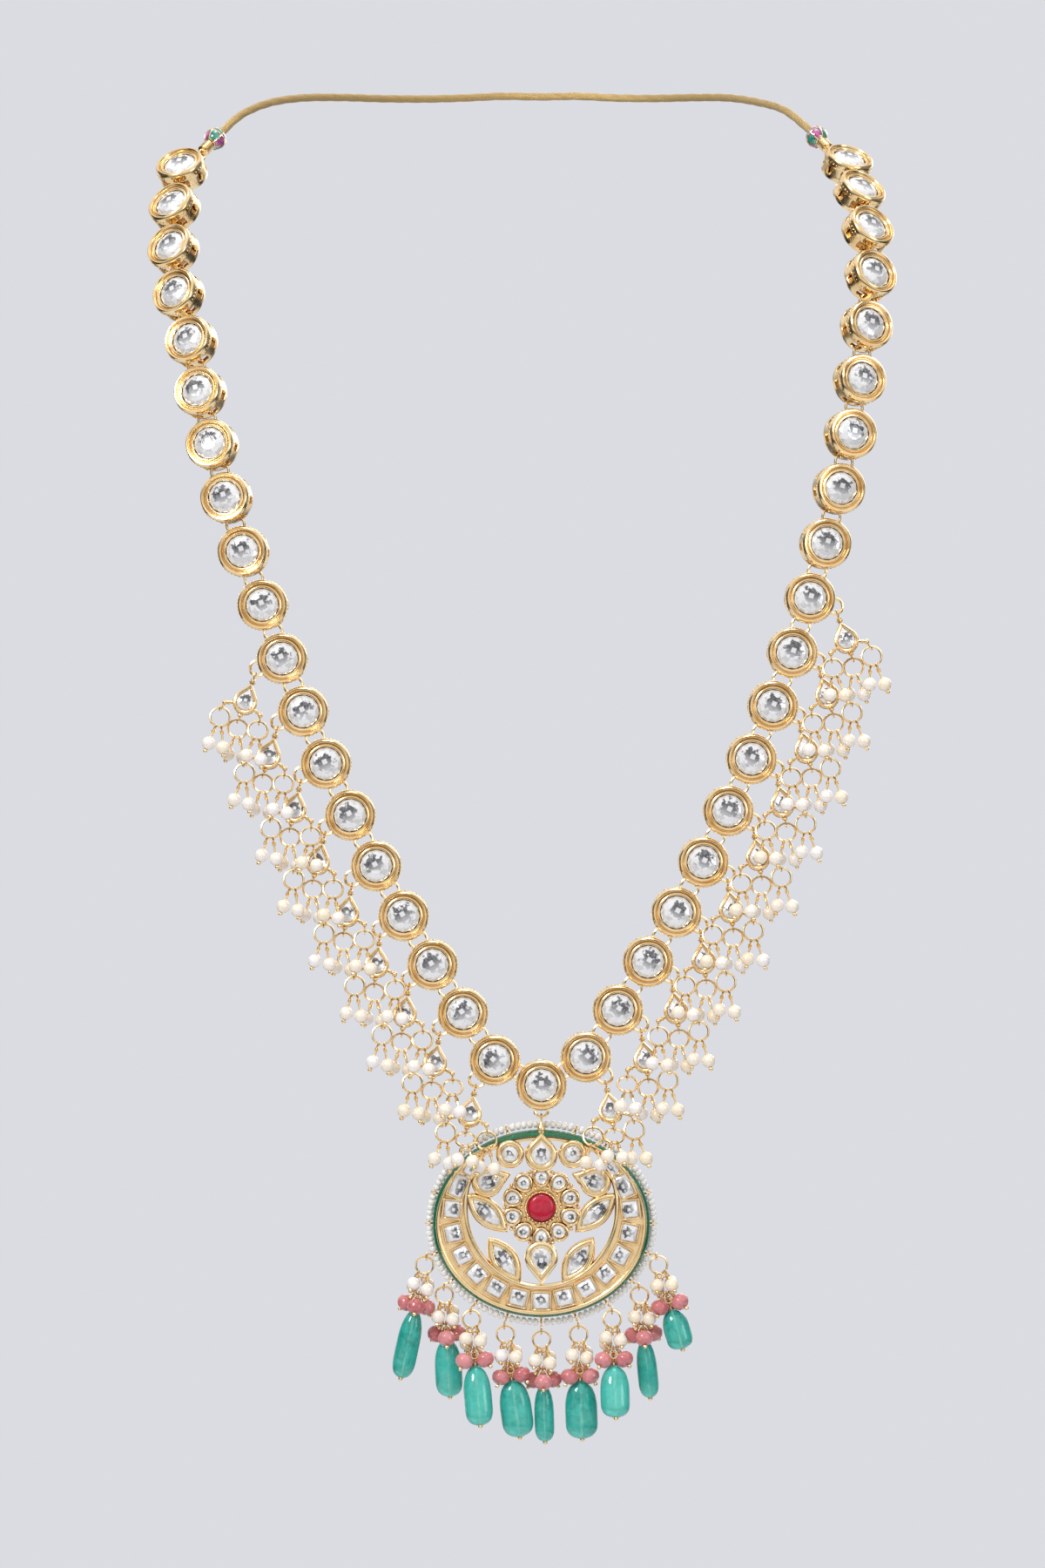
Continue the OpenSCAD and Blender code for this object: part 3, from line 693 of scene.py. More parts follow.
class Nodes:
    """A node tree whose nodes are added one after another."""

    def __init__(self, tree):
        self.tree = tree

    def give(self, socket, value):
        """Links a socket to another one, or sets its value."""
        if isinstance(value, bpy.types.NodeSocket):
            self.tree.links.new(value, socket)
        elif socket.type == "RGBA" and len(value) == 3:
            socket.default_value = (*value, 1)
        else:
            socket.default_value = value

    def add(self, kind, inputs=(), **values):
        """Adds a node. Values are its settings or, with _ for a space, its inputs."""
        node = self.tree.nodes.new(kind)
        for key, value in values.items():
            if hasattr(node, key):
                setattr(node, key, value)
            else:
                self.give(node.inputs[key.replace("_", " ")], value)
        for socket, value in dict(inputs).items():
            self.give(node.inputs[socket], value)
        return node

    def ramp(self, factor, stops):
        """A colour ramp through stops of place and colour."""
        node = self.add("ShaderNodeValToRGB", {"Fac": factor})
        band = node.color_ramp
        while len(band.elements) < len(stops):
            band.elements.new(0.5)
        for element, (place, colour) in zip(band.elements, stops):
            element.position = place
            element.color = (*colour, 1)
        return node.outputs["Color"]

    def mix(self, factor, a, b, blend="MIX"):
        return self.add("ShaderNodeMix", {0: factor, 6: a, 7: b}, data_type="RGBA", blend_type=blend).outputs[2]

    def math(self, operation, a, b=0.0):
        return self.add("ShaderNodeMath", {0: a, 1: b}, operation=operation).outputs[0]

    def plus(self, a, b):
        return self.math("ADD", a, b)

    def times(self, a, b):
        return self.math("MULTIPLY", a, b)

    def span(self, value, low, high, to_low=0.0, to_high=1.0):
        """Carries the range from low to high over to another one, and stops at its ends."""
        return self.add("ShaderNodeMapRange", {"Value": value}, From_Min=low, From_Max=high, To_Min=to_low,
                        To_Max=to_high).outputs["Result"]


class Finish(Nodes):
    """A material of one Principled shader."""

    def __init__(self, name):
        self.material = bpy.data.materials.new(name)
        self.material.use_nodes = True
        super().__init__(self.material.node_tree)
        self.shader = self.tree.nodes["Principled BSDF"]

    def noise(self, scale, detail=3.0, roughness=0.5, distortion=0.0):
        place = self.add("ShaderNodeTexCoord").outputs["Object"]
        return self.add("ShaderNodeTexNoise", {"Vector": place}, Scale=scale, Detail=detail,
                        Roughness=roughness, Distortion=distortion).outputs["Fac"]

    def attribute(self, name, output="Fac"):
        return self.add("ShaderNodeAttribute", attribute_name=name).outputs[output]

    def face_spot(self):
        """The two places that mark() gave to a face."""
        spot = self.add("ShaderNodeSeparateXYZ", {"Vector": self.attribute("face", "Vector")})
        return spot.outputs["X"], spot.outputs["Y"]

    def set(self, **values):
        for key, value in values.items():
            self.give(self.shader.inputs[key.replace("_", " ")], value)

    def bump(self, height, strength, distance):
        node = self.add("ShaderNodeBump", {"Height": height}, Strength=strength, Distance=distance)
        self.give(self.shader.inputs["Normal"], node.outputs["Normal"])


def size_of(name):
    """A size that a user may change, in millimetres."""
    return getattr(bpy.context.scene.necklace_sizes, name) / MM


def tint_of(name):
    """A colour that a user may change."""
    return tuple(getattr(bpy.context.scene.necklace_colours, name))


def gold(name="Pale gold plate", rough=0.15, grain=0.12, depth=1.0):
    """Polished pale gold with faint casting grain, and painted shade that makes it darker and browner in its hollows.
    """
    made = bpy.data.materials.get(name)
    if made:
        return made
    f = Finish(name)
    # A depth below 1 darkens the tint: a painted-shade copy of the gold
    tint = tuple(c * k for c, k in zip(tint_of("gold"), (depth, depth ** 1.5, depth ** 2)))
    deep = tuple(c * k for c, k in zip(tint, (0.92, 0.84, 0.68)))
    colour = f.mix(f.span(f.noise(240, 4), 0.38, 0.66), tint, deep)
    # Painted shade: ambient occlusion darkens the colour towards brown in hollows and creases
    hollow = f.add("ShaderNodeAmbientOcclusion", Distance=0.0009, samples=6).outputs["AO"]
    shade = f.mix(f.span(hollow, 0.1, 0.6), (0.5, 0.3, 0.13), (1, 1, 1))
    f.set(Base_Color=f.mix(1.0, colour, shade, "MULTIPLY"), Metallic=1.0)
    f.set(Roughness=f.span(f.noise(900, 4), 0.3, 0.7, rough - 0.05, rough + 0.09))
    f.bump(f.noise(1500, 5, 0.6), grain, 0.00012)
    return f.material


def gold_wire():
    return gold("Gold wire", 0.2, 0.06)


def foil_stone(name, petals=8, dark=0.44):
    """Foil-backed glass: silvery, with a painted dark reflection (a streaked blotch above the middle), a darker grey
    speckled rim and a painted bright glint on its table.
    """
    made = bpy.data.materials.get(name)
    if made:
        return made
    f = Finish(name)
    x, y = f.face_spot()
    # Painted reflection: a dark lobed blotch above the middle, strongest towards the top and streaked by noise
    y = f.math("SUBTRACT", y, 0.14)
    reach = f.math("SQRT", f.plus(f.times(x, x), f.times(y, y)))
    turn = f.math("ARCTAN2", y, x)
    tone = f.attribute("tone")
    lobes = f.math("ABSOLUTE", f.math("SINE", f.plus(f.times(turn, petals / 2), f.times(tone, 3.0))))
    ragged = f.span(f.noise(900, 4, 0.6), 0.3, 0.7, -0.3, 0.3)
    edge = f.plus(f.plus(f.times(lobes, 0.1), dark + 0.03), ragged)
    inside = f.span(f.math("SUBTRACT", edge, reach), -0.05, 0.06)
    streaks = f.span(f.noise(2300, 5, 0.65, 1.5), 0.36, 0.6)
    upper = f.span(y, -0.6, 0.1, 0.3, 1.0)
    depth = f.plus(f.times(streaks, 0.3), 0.72)
    painted_reflection = f.times(f.times(inside, upper), depth)
    rim = f.times(f.span(reach, 0.8, 1.0), f.span(f.noise(1700, 3), 0.45, 0.65, 0.0, 0.5))
    # Painted glint: a bright square on the stone's table
    box = f.math("MAXIMUM", f.math("ABSOLUTE", x), f.math("ABSOLUTE", y))
    table_glint = f.span(box, 0.17, 0.13)
    colour = f.mix(painted_reflection, tint_of("stone"), (0.02, 0.021, 0.028))
    colour = f.mix(rim, colour, (0.36, 0.33, 0.3))
    colour = f.mix(f.times(table_glint, 0.85), colour, (0.9, 0.91, 0.95))
    f.set(Base_Color=colour, Metallic=0.25, Roughness=0.12, Coat_Weight=1.0, Coat_Roughness=0.02)
    return f.material


def pearl():
    """Pearl coating, each pearl with its own warmth, and painted shade that darkens it towards its edges."""
    made = bpy.data.materials.get("Pearl")
    if made:
        return made
    f = Finish("Pearl")
    warm = tuple(c * k for c, k in zip(tint_of("pearl"), (1.0, 0.96, 0.86)))
    own = f.mix(f.attribute("tone"), warm, (0.95, 0.91, 0.91))
    cloud = f.mix(f.span(f.noise(300, 1), 0.4, 0.7, 0.0, 0.12), own, (0.84, 0.75, 0.64))
    # Painted shade: warmer and darker where the surface turns away from the view
    turned_away = f.add("ShaderNodeLayerWeight", Blend=0.3).outputs["Facing"]
    painted_edge_shade = f.mix(f.span(turned_away, 0.3, 1.0, 0.0, 0.75), cloud, (0.5, 0.36, 0.24))
    f.set(Base_Color=painted_edge_shade, Roughness=0.24)
    f.set(Subsurface_Weight=0.08, Subsurface_Radius=(0.6, 0.45, 0.3), Subsurface_Scale=0.001)
    f.set(Coat_Weight=0.8, Coat_Roughness=0.06, Specular_IOR_Level=0.6)
    return f.material


def seed_glass():
    """Opaque white glass."""
    f = Finish("White seed glass")
    colour = f.mix(f.attribute("tone"), (0.98, 0.98, 0.97), (0.93, 0.92, 0.9))
    f.set(Base_Color=f.mix(f.span(f.noise(1500, 2), 0.4, 0.7, 0, 0.2), colour, (0.85, 0.84, 0.82)))
    f.set(Roughness=0.2, Coat_Weight=0.5, Coat_Roughness=0.06)
    f.set(Subsurface_Weight=0.3, Subsurface_Radius=(1.0, 1.0, 1.0), Subsurface_Scale=0.0009)
    return f.material


def gem_glass(name, light, deep, scale, rough=0.12, see_through=0.0, cloudy=0.2):
    """Veined translucent stone: light and deep colours clouding into each other."""
    f = Finish(name)
    veins = f.span(f.noise(scale, 6, 0.62, 1.2), 0.33, 0.67)
    colour = f.mix(veins, deep, light)
    pale = tuple(min(1, c * 1.5 + 0.12) for c in light)
    colour = f.mix(f.times(f.attribute("tone"), 0.6), colour, pale)
    f.set(Base_Color=colour, Roughness=rough, Transmission_Weight=see_through, IOR=1.5)
    radius = tuple(0.4 + c for c in light)
    f.set(Subsurface_Weight=cloudy, Subsurface_Radius=radius, Subsurface_Scale=0.0015)
    f.set(Coat_Weight=0.4, Coat_Roughness=0.05)
    f.bump(f.noise(scale * 2.5, 4), 0.06, 0.0001)
    return f


def teal_glass():
    """The tumbled drops: a pale line down the middle where the wire's hole shows, darker at both sides, and painted
    light that makes the lower part paler while the top stays darker as painted shade under the rose beads.
    """
    f = gem_glass("Teal stone", tint_of("teal"), (0.0, 0.3, 0.25), 420, 0.1, 0.3, 0.35)
    x, y = f.face_spot()
    across = f.math("ABSOLUTE", f.plus(x, f.span(f.noise(260, 2), 0.3, 0.7, -0.05, 0.05)))
    core = f.times(f.span(across, 0.11, 0.03), f.span(f.noise(500, 3), 0.35, 0.7, 0.05, 0.5))
    base = f.shader.inputs["Base Color"].links[0].from_socket
    edge = f.times(f.span(across, 0.62, 1.0), 0.45)
    # Painted light and shade: paler towards the lower end, darker at the top under the rose beads
    low = f.span(f.plus(y, f.span(f.noise(300, 3), 0.3, 0.7, -0.2, 0.2)), 0.3, 1.1, 0.0, 0.55)
    colour = f.mix(edge, f.mix(low, base, (0.16, 0.66, 0.56)), (0.03, 0.46, 0.43))
    f.set(Base_Color=f.mix(core, colour, (0.42, 0.85, 0.72)))
    return f.material


def enamel(name, colour, flecks):
    """Glossy enamel with small lighter flecks."""
    f = Finish(name)
    spots = f.span(f.noise(1400, 4, 0.6), 0.58, 0.7)
    f.set(Base_Color=f.mix(spots, colour, flecks), Roughness=0.12, Coat_Weight=1.0, Coat_Roughness=0.04)
    f.bump(f.noise(800, 3), 0.3, 0.0003)
    return f.material


def bead_enamel():
    """Leaves of green and magenta enamel, outlined dark, which follow each panel of a bead."""
    f = Finish("Painted bead enamel")
    u, v = f.face_spot()
    bend = f.plus(u, f.times(f.math("SINE", f.times(v, 5.2)), 0.2))
    leaf = f.math("SINE", f.times(f.plus(bend, f.times(v, 0.55)), 9.0))
    green = f.mix(f.span(f.noise(900, 3), 0.4, 0.65), (0.0, 0.2, 0.13), (0.06, 0.42, 0.3))
    pink = f.mix(f.span(f.noise(1100, 3), 0.4, 0.65), (0.3, 0.02, 0.2), (0.6, 0.16, 0.42))
    colour = f.mix(f.span(leaf, -0.08, 0.08), green, pink)
    line = f.span(f.math("ABSOLUTE", leaf), 0.24, 0.06)
    f.set(Base_Color=f.mix(line, colour, (0.015, 0.03, 0.04)))
    f.set(Roughness=0.1, Coat_Weight=1.0, Coat_Roughness=0.03)
    return f.material


def thread():
    """Metallic thread: fine strands across the plies, with a soft sheen."""
    f = Finish("Gold thread")
    u, v = f.face_spot()
    strands = f.math("SINE", f.plus(f.times(u, 60.0), f.times(v, 900.0)))
    fibres = f.plus(f.times(strands, 0.35), f.noise(2400, 5, 0.7))
    colour = f.mix(f.span(fibres, 0.1, 0.9), (0.34, 0.2, 0.06), (0.82, 0.6, 0.26))
    f.set(Base_Color=colour, Metallic=0.55, Roughness=0.42, Sheen_Weight=0.35, Sheen_Roughness=0.4)
    f.bump(fibres, 0.5, 0.00012)
    return f.material


def shades(count, seed):
    pick = random.Random(SEED * 100 + seed)
    return [pick.random() for _ in range(count)]


def shaded(frames, seed, size=1.0):
    """Places for strewn shapes, each with a shade of its own."""
    frames = list(frames)
    return [(m, size, t) for m, t in zip(frames, shades(len(frames), seed))]


def even(frames, size=1.0):
    """Places for strewn shapes of one shade."""
    return [(m, size, 0.5) for m in frames]


# The pieces


def build_stage():
    """The camera, the lights, a pale floor far below and the room."""
    scene = bpy.context.scene
    scene.view_settings.view_transform = "Standard"
    scene.view_settings.look = "None"
    camera = bpy.data.cameras.new("Camera")
    camera.lens = 115.2
    camera.sensor_fit = "AUTO"
    camera.sensor_width = 36
    eye = bpy.data.objects.new("Camera", camera)
    eye.location = (-0.0045, -0.115 - 1.2, -0.1801)
    eye.rotation_euler = (math.radians(90), 0, 0)
    scene.collection.objects.link(eye)
    scene.camera = eye
    lamps = [
        ("Key", (-0.75, -1.15, 0.62), 0.5, 9.0, (1, 0.985, 0.96)),
        ("Fill", (1.0, -1.0, 0.0), 0.6, 2.0, (0.95, 0.97, 1)),
        ("Top", (0.0, -0.25, 0.9), 0.5, 3.0, (1, 1, 1)),
        ("Back", (0.4, 0.9, 0.3), 0.8, 3.0, (0.96, 0.98, 1)),
    ]
    for name, place, size, power, colour in lamps:
        lamp = bpy.data.lights.new(name, "AREA")
        lamp.shape, lamp.size, lamp.energy, lamp.color = "DISK", size, power, colour
        holder = bpy.data.objects.new(name, lamp)
        holder.location = place
        holder.rotation_euler = (Vector((0, -0.1, -0.18)) - Vector(place)).to_track_quat("-Z", "Y").to_euler()
        scene.collection.objects.link(holder)
    floor = bpy.data.meshes.new("Floor")
    disc = circle(1400, 64, -900)
    floor.from_pydata([tuple(c * MM for c in p) for p in disc], [], [list(range(64))])
    ground = bpy.data.objects.new("Floor", floor)
    scene.collection.objects.link(ground)
    f = Finish("Pale floor")
    cloud = f.span(f.noise(3, 2), 0.3, 0.7)
    f.set(Base_Color=f.mix(cloud, (0.72, 0.73, 0.76), (0.68, 0.69, 0.72)), Roughness=0.7)
    floor.materials.append(f.material)
    ground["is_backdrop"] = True
    build_room(scene)


def build_room(scene):
    """A pale room: plain behind the necklace, lighter above and darker low down in reflections."""
    world = bpy.data.worlds.new("Room")
    scene.world = world
    world.use_nodes = True
    world.node_tree.nodes.clear()
    made = Nodes(world.node_tree)
    place = made.add("ShaderNodeTexCoord").outputs["Generated"]
    way = made.add("ShaderNodeSeparateXYZ", {"Vector": place}).outputs
    heights = [(0.0, 0.3), (0.25, 0.22), (0.36, 0.12), (0.42, 0.8), (0.52, 0.86), (0.58, 0.34), (0.64, 0.9),
               (1.0, 0.95)]
    sides = [(0.0, 0.1), (0.06, 0.12), (0.1, 1.0), (0.88, 1.0), (0.93, 0.3), (1.0, 0.3)]
    up = made.ramp(made.span(way["Z"], -1, 1), [(at, (v, v * 0.985, v * 0.97)) for at, v in heights])
    across = made.ramp(made.span(way["X"], -1, 1), [(at, (v, v, v)) for at, v in sides])
    light = made.mix(1.0, up, across, "MULTIPLY")
    room = made.add("ShaderNodeBackground", {"Color": light}).outputs[0]
    plain = made.add("ShaderNodeBackground", Color=(0.708, 0.716, 0.76)).outputs[0]
    seen = made.add("ShaderNodeLightPath").outputs["Is Camera Ray"]
    mixed = made.add("ShaderNodeMixShader", {0: seen, 1: room, 2: plain}).outputs[0]
    made.add("ShaderNodeOutputWorld", {0: mixed})


def build_cord():
    """The twisted neck cord, its wound gold caps and the two enamelled beads."""
    path = cord_path()
    radius = size_of("cord_diameter") / 2
    sides, turns_per_mm = 18, 1 / 5.2
    corners, spots, length = [], [], 0.0
    side = Vector((0, 0, 1)).cross(path[1] - path[0]).normalized()
    for i, p in enumerate(path):
        t = (path[min(i + 1, len(path) - 1)] - path[max(i - 1, 0)]).normalized()
        side = (side - side.dot(t) * t).normalized()
        over = t.cross(side)
        length += (p - path[i - 1]).length if i else 0
        for j in range(sides):
            a = math.tau * j / sides
            r = radius * (0.9 + 0.13 * abs(math.cos(1.5 * (a - math.tau * length * turns_per_mm / 3))))
            corners.append(p + r * (math.cos(a) * side + math.sin(a) * over))
            spots.append((a, length * MM, 0))
    rows = [list(range(i * sides, (i + 1) * sides)) for i in range(len(path))]
    faces = [f for a, b in zip(rows, rows[1:]) for f in wall_between(a, b)] + [rows[0], rows[-1]]
    mesh = make_mesh("neck_cord_thread", (corners, faces), crease=80)
    mark(mesh, spots)
    cord = finished(mesh, "neck_cord_thread", "necklace", ["neck_cord"], thread())

    caps, panels, ribs = [], [], []
    for side in (-1, 1):
        m = end_frame(side)
        eye = put(m @ moved((0, 0, END_EYE)) @ turned("X", 90), torus(EYE_R, FINE_WIRE, 16, 6))
        wound = [(1.0, CRIMP[0] - 0.1)]
        coils = 6
        step = (CRIMP[1] - CRIMP[0]) / coils
        for c in range(coils):
            z = CRIMP[0] + c * step
            wound += [(1.27, z + 0.04), (1.47, z + 0.27 * step), (1.5, z + 0.5 * step), (1.47, z + 0.73 * step),
                      (1.27, z + 0.96 * step)]
        wound += [(1.13, CRIMP[1]), (1.13, CRIMP[0] + 0.9), (0.0, CRIMP[0] + 0.85)]
        caps += [eye, put(m, lathe([(0.0, CRIMP[0] - 0.25)] + wound, 24))]
        neck = [(0.5, 0), (0.75, 0.5), (1.0, 1)]
        caps.append(put(m, spindle((0, 0, END_EYE + 0.5), (0, 0, CRIMP[0]), neck, 12)))
        globe = m @ moved((0, 0, BEAD_AT))
        ends = [(1.13, -2.4), (1.2, -2.44), (1.7, -2.1), (1.72, -2.02), (1.5, -1.9), (1.13, -1.9)]
        caps += [put(globe, lathe(ends, 24, True)), put(globe, lathe([(r, -z) for r, z in ends], 24, True))]
        band = torus(BEAD_R - 0.03, 0.16, 40, 6)
        ribs += [put(globe @ turned("Z", 60 * j) @ turned("X", 90), band) for j in range(3)]
        ribs.append(put(globe, band))
        arc = [(BEAD_R * sind(a), -BEAD_R * cosd(a)) for a in range(26, 155, 8)]
        bore = [(1.12, arc[-1][1] - 0.05), (1.12, arc[0][1] + 0.05)]
        panels.append((globe, lathe(arc + bore, 36, True)))
    ends = ["cord_end_left", "cord_end_right"]
    finished(make_mesh("cord_caps", joined(caps)), "cord_caps", "necklace", ends, gold())
    finished(make_mesh("bead_bands", joined(ribs)), "bead_bands", "necklace", (), gold())
    shapes, spots = [], []
    for globe, shape in panels:
        spots += [(math.atan2(p[1], p[0]) / math.pi, p[2] / BEAD_R, 0) for p in shape[0]]
        shapes.append(put(globe, shape))
    mesh = make_mesh("bead_enamel", joined(shapes), crease=60)
    mark(mesh, spots)
    ends = ["enamel_bead_left", "enamel_bead_right"]
    finished(mesh, "bead_panels", "necklace", ends, bead_enamel())


def link_shape():
    """A link: its stepped front collar and its back ring."""
    collar = [(0, 1.75), (3.7, 1.75), (3.92, 1.95), (3.96, 2.5), (4.02, 2.84), (4.16, 3.04), (4.36, 3.08),
              (4.58, 3.0), (4.72, 2.86), (4.84, 2.7), (4.94, 2.72), (5.0, 2.95), (5.1, 3.26), (5.26, 3.44), (5.5, 3.48),
              (5.72, 3.3), (5.92, 2.98), (6.0, 2.6), (5.99, 1.4), (5.92, 1.1), (5.72, 1.0), (0, 1.0)]
    back = [(4.98, -1.12), (5.06, -1.0), (5.82, -1.0), (5.95, -1.14), (5.95, -1.95), (5.84, -2.2), (5.6, -2.3),
            (5.2, -2.3), (5.02, -2.16)]
    return joined([lathe(collar, 56), lathe(back, 56, True)])


def pillar_shape(half_width):
    """One pillar between two windows, flared where it meets the collar and the back ring."""
    rings = []
    for z, flare in ((-1.2, 0.4), (-0.85, 0.12), (-0.6, 0), (0.6, 0), (0.85, 0.12), (1.2, 0.4)):
        half = half_width + flare
        front = [(5.86, -half, z), (5.94, -half * 0.5, z), (5.94, half * 0.5, z), (5.86, half, z)]
        rings.append([(5.2, -half, z), *front, (5.2, half, z)])
    return loft(rings)


def shade_sheet_shape():
    """An inner wall seen through one side opening: a sheet of painted-shade gold standing where there is only shade."""
    section = [(4.3, -1.4), (5.1, -1.4), (5.1, 1.1), (4.3, 1.1)]
    return loft([[(r * cosd(a), r * sind(a), z) for r, z in section] for a in (-22, -11, 0, 11, 22)])


def build_links():
    """The links: collars and back rings, posts, fine grains, and the cups behind the stones; the cups and the sheets
    behind the side openings are in painted-shade gold.
    """
    grow = size_of("link_radius") / LINK_R
    links = shaded(map(link_frame, range(1, LINKS + 1)), 1, grow)
    mesh = strewn(make_mesh("link", link_shape(), 30), links, gold())
    finished(mesh, "links", "necklace", [f"link_{i:02d}" for i in range(1, LINKS + 1)])
    narrow, wide, windows = [], [], []
    for i in range(1, LINKS + 1):
        posts = post_angles(i)
        held = [any(abs((a - e + 180) % 360 - 180) < 5 for e in (*post_ends(i), 270)) for a in posts]
        for j, a in enumerate(posts):
            (narrow if held[j] else wide).append(link_frame(i) @ turned("Z", a))
            if not held[j] and not held[j - 1]:
                middle = posts[j] - ((posts[j] - posts[j - 1]) % 360) / 2
                windows.append(link_frame(i) @ turned("Z", middle))
    meshes = [strewn(make_mesh("pillar", pillar_shape(half), 30), even(frames, grow), gold())
              for half, frames in ((0.8, narrow), (1.2, wide))]
    finished(merged("link_pillars", meshes), "link_pillars", "necklace")
    grains = joined([ball((6.0 * cosd(a), 6.0 * sind(a), 1.95), 0.2, 6, 4) for a in range(0, 360, 9)])
    finished(strewn(make_mesh("granules", grains), links, gold()), "link_granules", "necklace")
    cup = [(0, -2.0), (3.5, -2.05), (3.9, -1.9), (4.15, -1.6), (4.2, -1.2), (4.2, 0.8), (4.9, 1.02), (0, 1.1)]
    # Painted shade: the cups and the sheets behind the side openings take a darkened copy of the gold
    shade = gold("Gold in shade", 0.32, 0.15, 0.62)
    meshes = [strewn(make_mesh("cup", lathe(cup, 32), 40), links, shade),
              strewn(make_mesh("liner", shade_sheet_shape(), 30), even(windows, grow), shade)]
    finished(merged("link_cups", meshes), "link_cups", "necklace")


def build_link_stones():
    """The round stones of the links."""
    r = size_of("stone_radius") + 0.11
    stone = make_mesh("stone", cut_stone(round_outline(r, 12), 1.8, 2.5, 3.5), face=(r, 1), smooth=False)
    mesh = strewn(stone, shaded(map(link_frame, range(1, LINKS + 1)), 2), foil_stone("Round foil stone"))
    finished(mesh, "link_gems", "necklace", ["link_stones"])


def build_rings():
    """Jump rings between links, the hooks of the drops and the pendant's ring."""
    wide, tight = [], []
    for i in range(1, LINKS):
        gap = PLACES[i + 1] - PLACES[i]
        d, side = gap.normalized(), facing(i) + facing(i + 1)
        z = (side - side.dot(d) * d).normalized()
        m = frame_matrix(d.cross(z), d, z, (PLACES[i] + PLACES[i + 1]) / 2)
        (tight if i in (SIDE_LINKS, CENTRE) else wide).append(m)
    wide += [end_frame(side) @ moved((0, 0, PITCH / 2)) @ turned("Y", 90) for side in (-1, 1)]
    hooks = [moved(hook_place(side, k)) @ UPRIGHT for side, k, _ in drops()]
    low = [moved(PLACES[CENTRE] - Vector((0, 0, PENDANT_RING_AT))) @ UPRIGHT]
    kinds = [(PITCH / 2 - HOLD_R, wide), (CENTRE_PITCH / 2 - HOLD_R, tight), (HOOK_R, hooks),
             (PENDANT_RING_R, low)]
    meshes = [strewn(make_mesh("ring", torus(r, LINK_WIRE, 24, 8)), even(frames), gold())
              for r, frames in kinds]
    replaced = ["link_rings", "drop_hooks", "pendant_ring"]
    finished(merged("jump_rings", meshes), "jump_rings", "necklace", replaced)


def setting_shape():
    """A pear-shaped setting with its turned neck, side arms and eyelets."""
    outline = pear_outline(PEAR_R, PEAR_TIP, 26)
    levels = [(0.18, -1.3), (0, -1.12), (0, -0.35), (0.07, -0.25), (0.07, -0.1), (0, 0.0), (0, 0.5), (0.07, 0.84),
              (0.25, 1.06), (0.42, 1.1), (0.57, 1.02), (0.66, 0.8), (0.76, 0.76), (0.86, 0.5), (0.9, -0.05)]
    neck = [(0.3, 0), (0.5, 0.08), (0.72, 0.2), (0.5, 0.34), (0.46, 0.42), (0.84, 0.62), (0.8, 0.74), (0.5, 0.84),
            (0.6, 1)]
    foot = [(0.55, 0), (0.45, 0.2), (0.7, 0.42), (0.7, 0.58), (0.42, 0.76), (0.3, 1)]
    bead = [(0.4, 0), (0.55, 0.3), (0.55, 0.7), (0.4, 1)]
    parts = [put(moved((0, PEAR_AT, 0)), raised(outline, levels)), eyelet(),
             spindle((0, -0.95, 0), (0, -2.3, 0), neck), spindle((0, -9.8, 0), (0, -11.0, 0), foot),
             put(moved((*LOW_EYE, 0)), eyelet())]
    for s in (-1, 1):
        end = (s * SIDE_BALL[0], PEAR_AT + SIDE_BALL[1], 0)
        parts += [rod((s * 2.6, PEAR_AT - 1, 0), end, 0.38, 8), ball(end, 0.65),
                  spindle((s * 3.3, PEAR_AT - 1.26, 0), (s * 3.75, PEAR_AT - 1.43, 0), bead),
                  put(moved((s * SIDE_EYE[0], SIDE_EYE[1], 0)) @ turned("Z", s * 12), eyelet())]
    return joined(parts)


def build_settings():
    """The settings of the drops and their pear-shaped stones."""
    places = shaded([drop_frame(side, k, hang) for side, k, hang in drops()], 3)
    mesh = strewn(make_mesh("setting", setting_shape(), 34), places, gold())
    finished(mesh, "pear_settings", "necklace", ["drop_settings"])
    shape = cut_stone(inset(pear_outline(PEAR_R, PEAR_TIP, 11), 0.84), -0.02, 0.55, 1.3, 0.42)
    stone = make_mesh("pear stone", shape, face=(2.4, 1), smooth=False)
    stones = [(m @ moved((0, PEAR_AT, 0)), 1.0, t) for m, _, t in places]
    mesh = strewn(stone, stones, foil_stone("Pear foil stone", 4, 0.5))
    finished(mesh, "pear_gems", "necklace", ["drop_stones"])


def pin(start, bead, r, end_ball):
    """A wire pin looped on a ring at start, wrapped three times, through a bead, with its end ball."""
    start, bead = Vector(start), Vector(bead)
    u = (bead - start).normalized()
    m = axis_matrix(start, u)
    far = (bead - start).length
    parts = [put(m @ moved((0, 0, 0.3)) @ turned("Y", 90), torus(0.66, 0.22, 11, 5))]
    for j in range(3):
        parts.append(put(m @ moved((0, 0, 1.08 + 0.3 * j)), torus(0.36, 0.18, 8, 4)))
    parts.append(put(m, lathe([(0.23, 0.8), (0.23, far - r + 0.2)], 6)))
    cap = [(0.24, -0.2), (0.5, -0.02), (0.56, 0.14), (0.3, 0.2)]
    parts.append(put(m, lathe([(radius, far - r + z) for radius, z in cap], 8)))
    parts.append(put(m, ball((0, 0, far + r + 0.3), end_ball, 9, 6)))
    parts.append(put(m, lathe([(0.3, far + r - 0.12), (0.42, far + r), (0.3, far + r + 0.1)], 7)))
    return joined(parts)


def pair_pins():
    """Where the two pins of a pearl pair start and where their pearls sit."""
    for s in (-1, 1):
        start = (s * DROP_RING_R * sind(PIN_SPREAD), -DROP_RING_R * (1 + cosd(PIN_SPREAD)), 0)
        yield start, (s * 1.8, -2 * DROP_RING_R - 4.6 - 0.3 * s, 0)


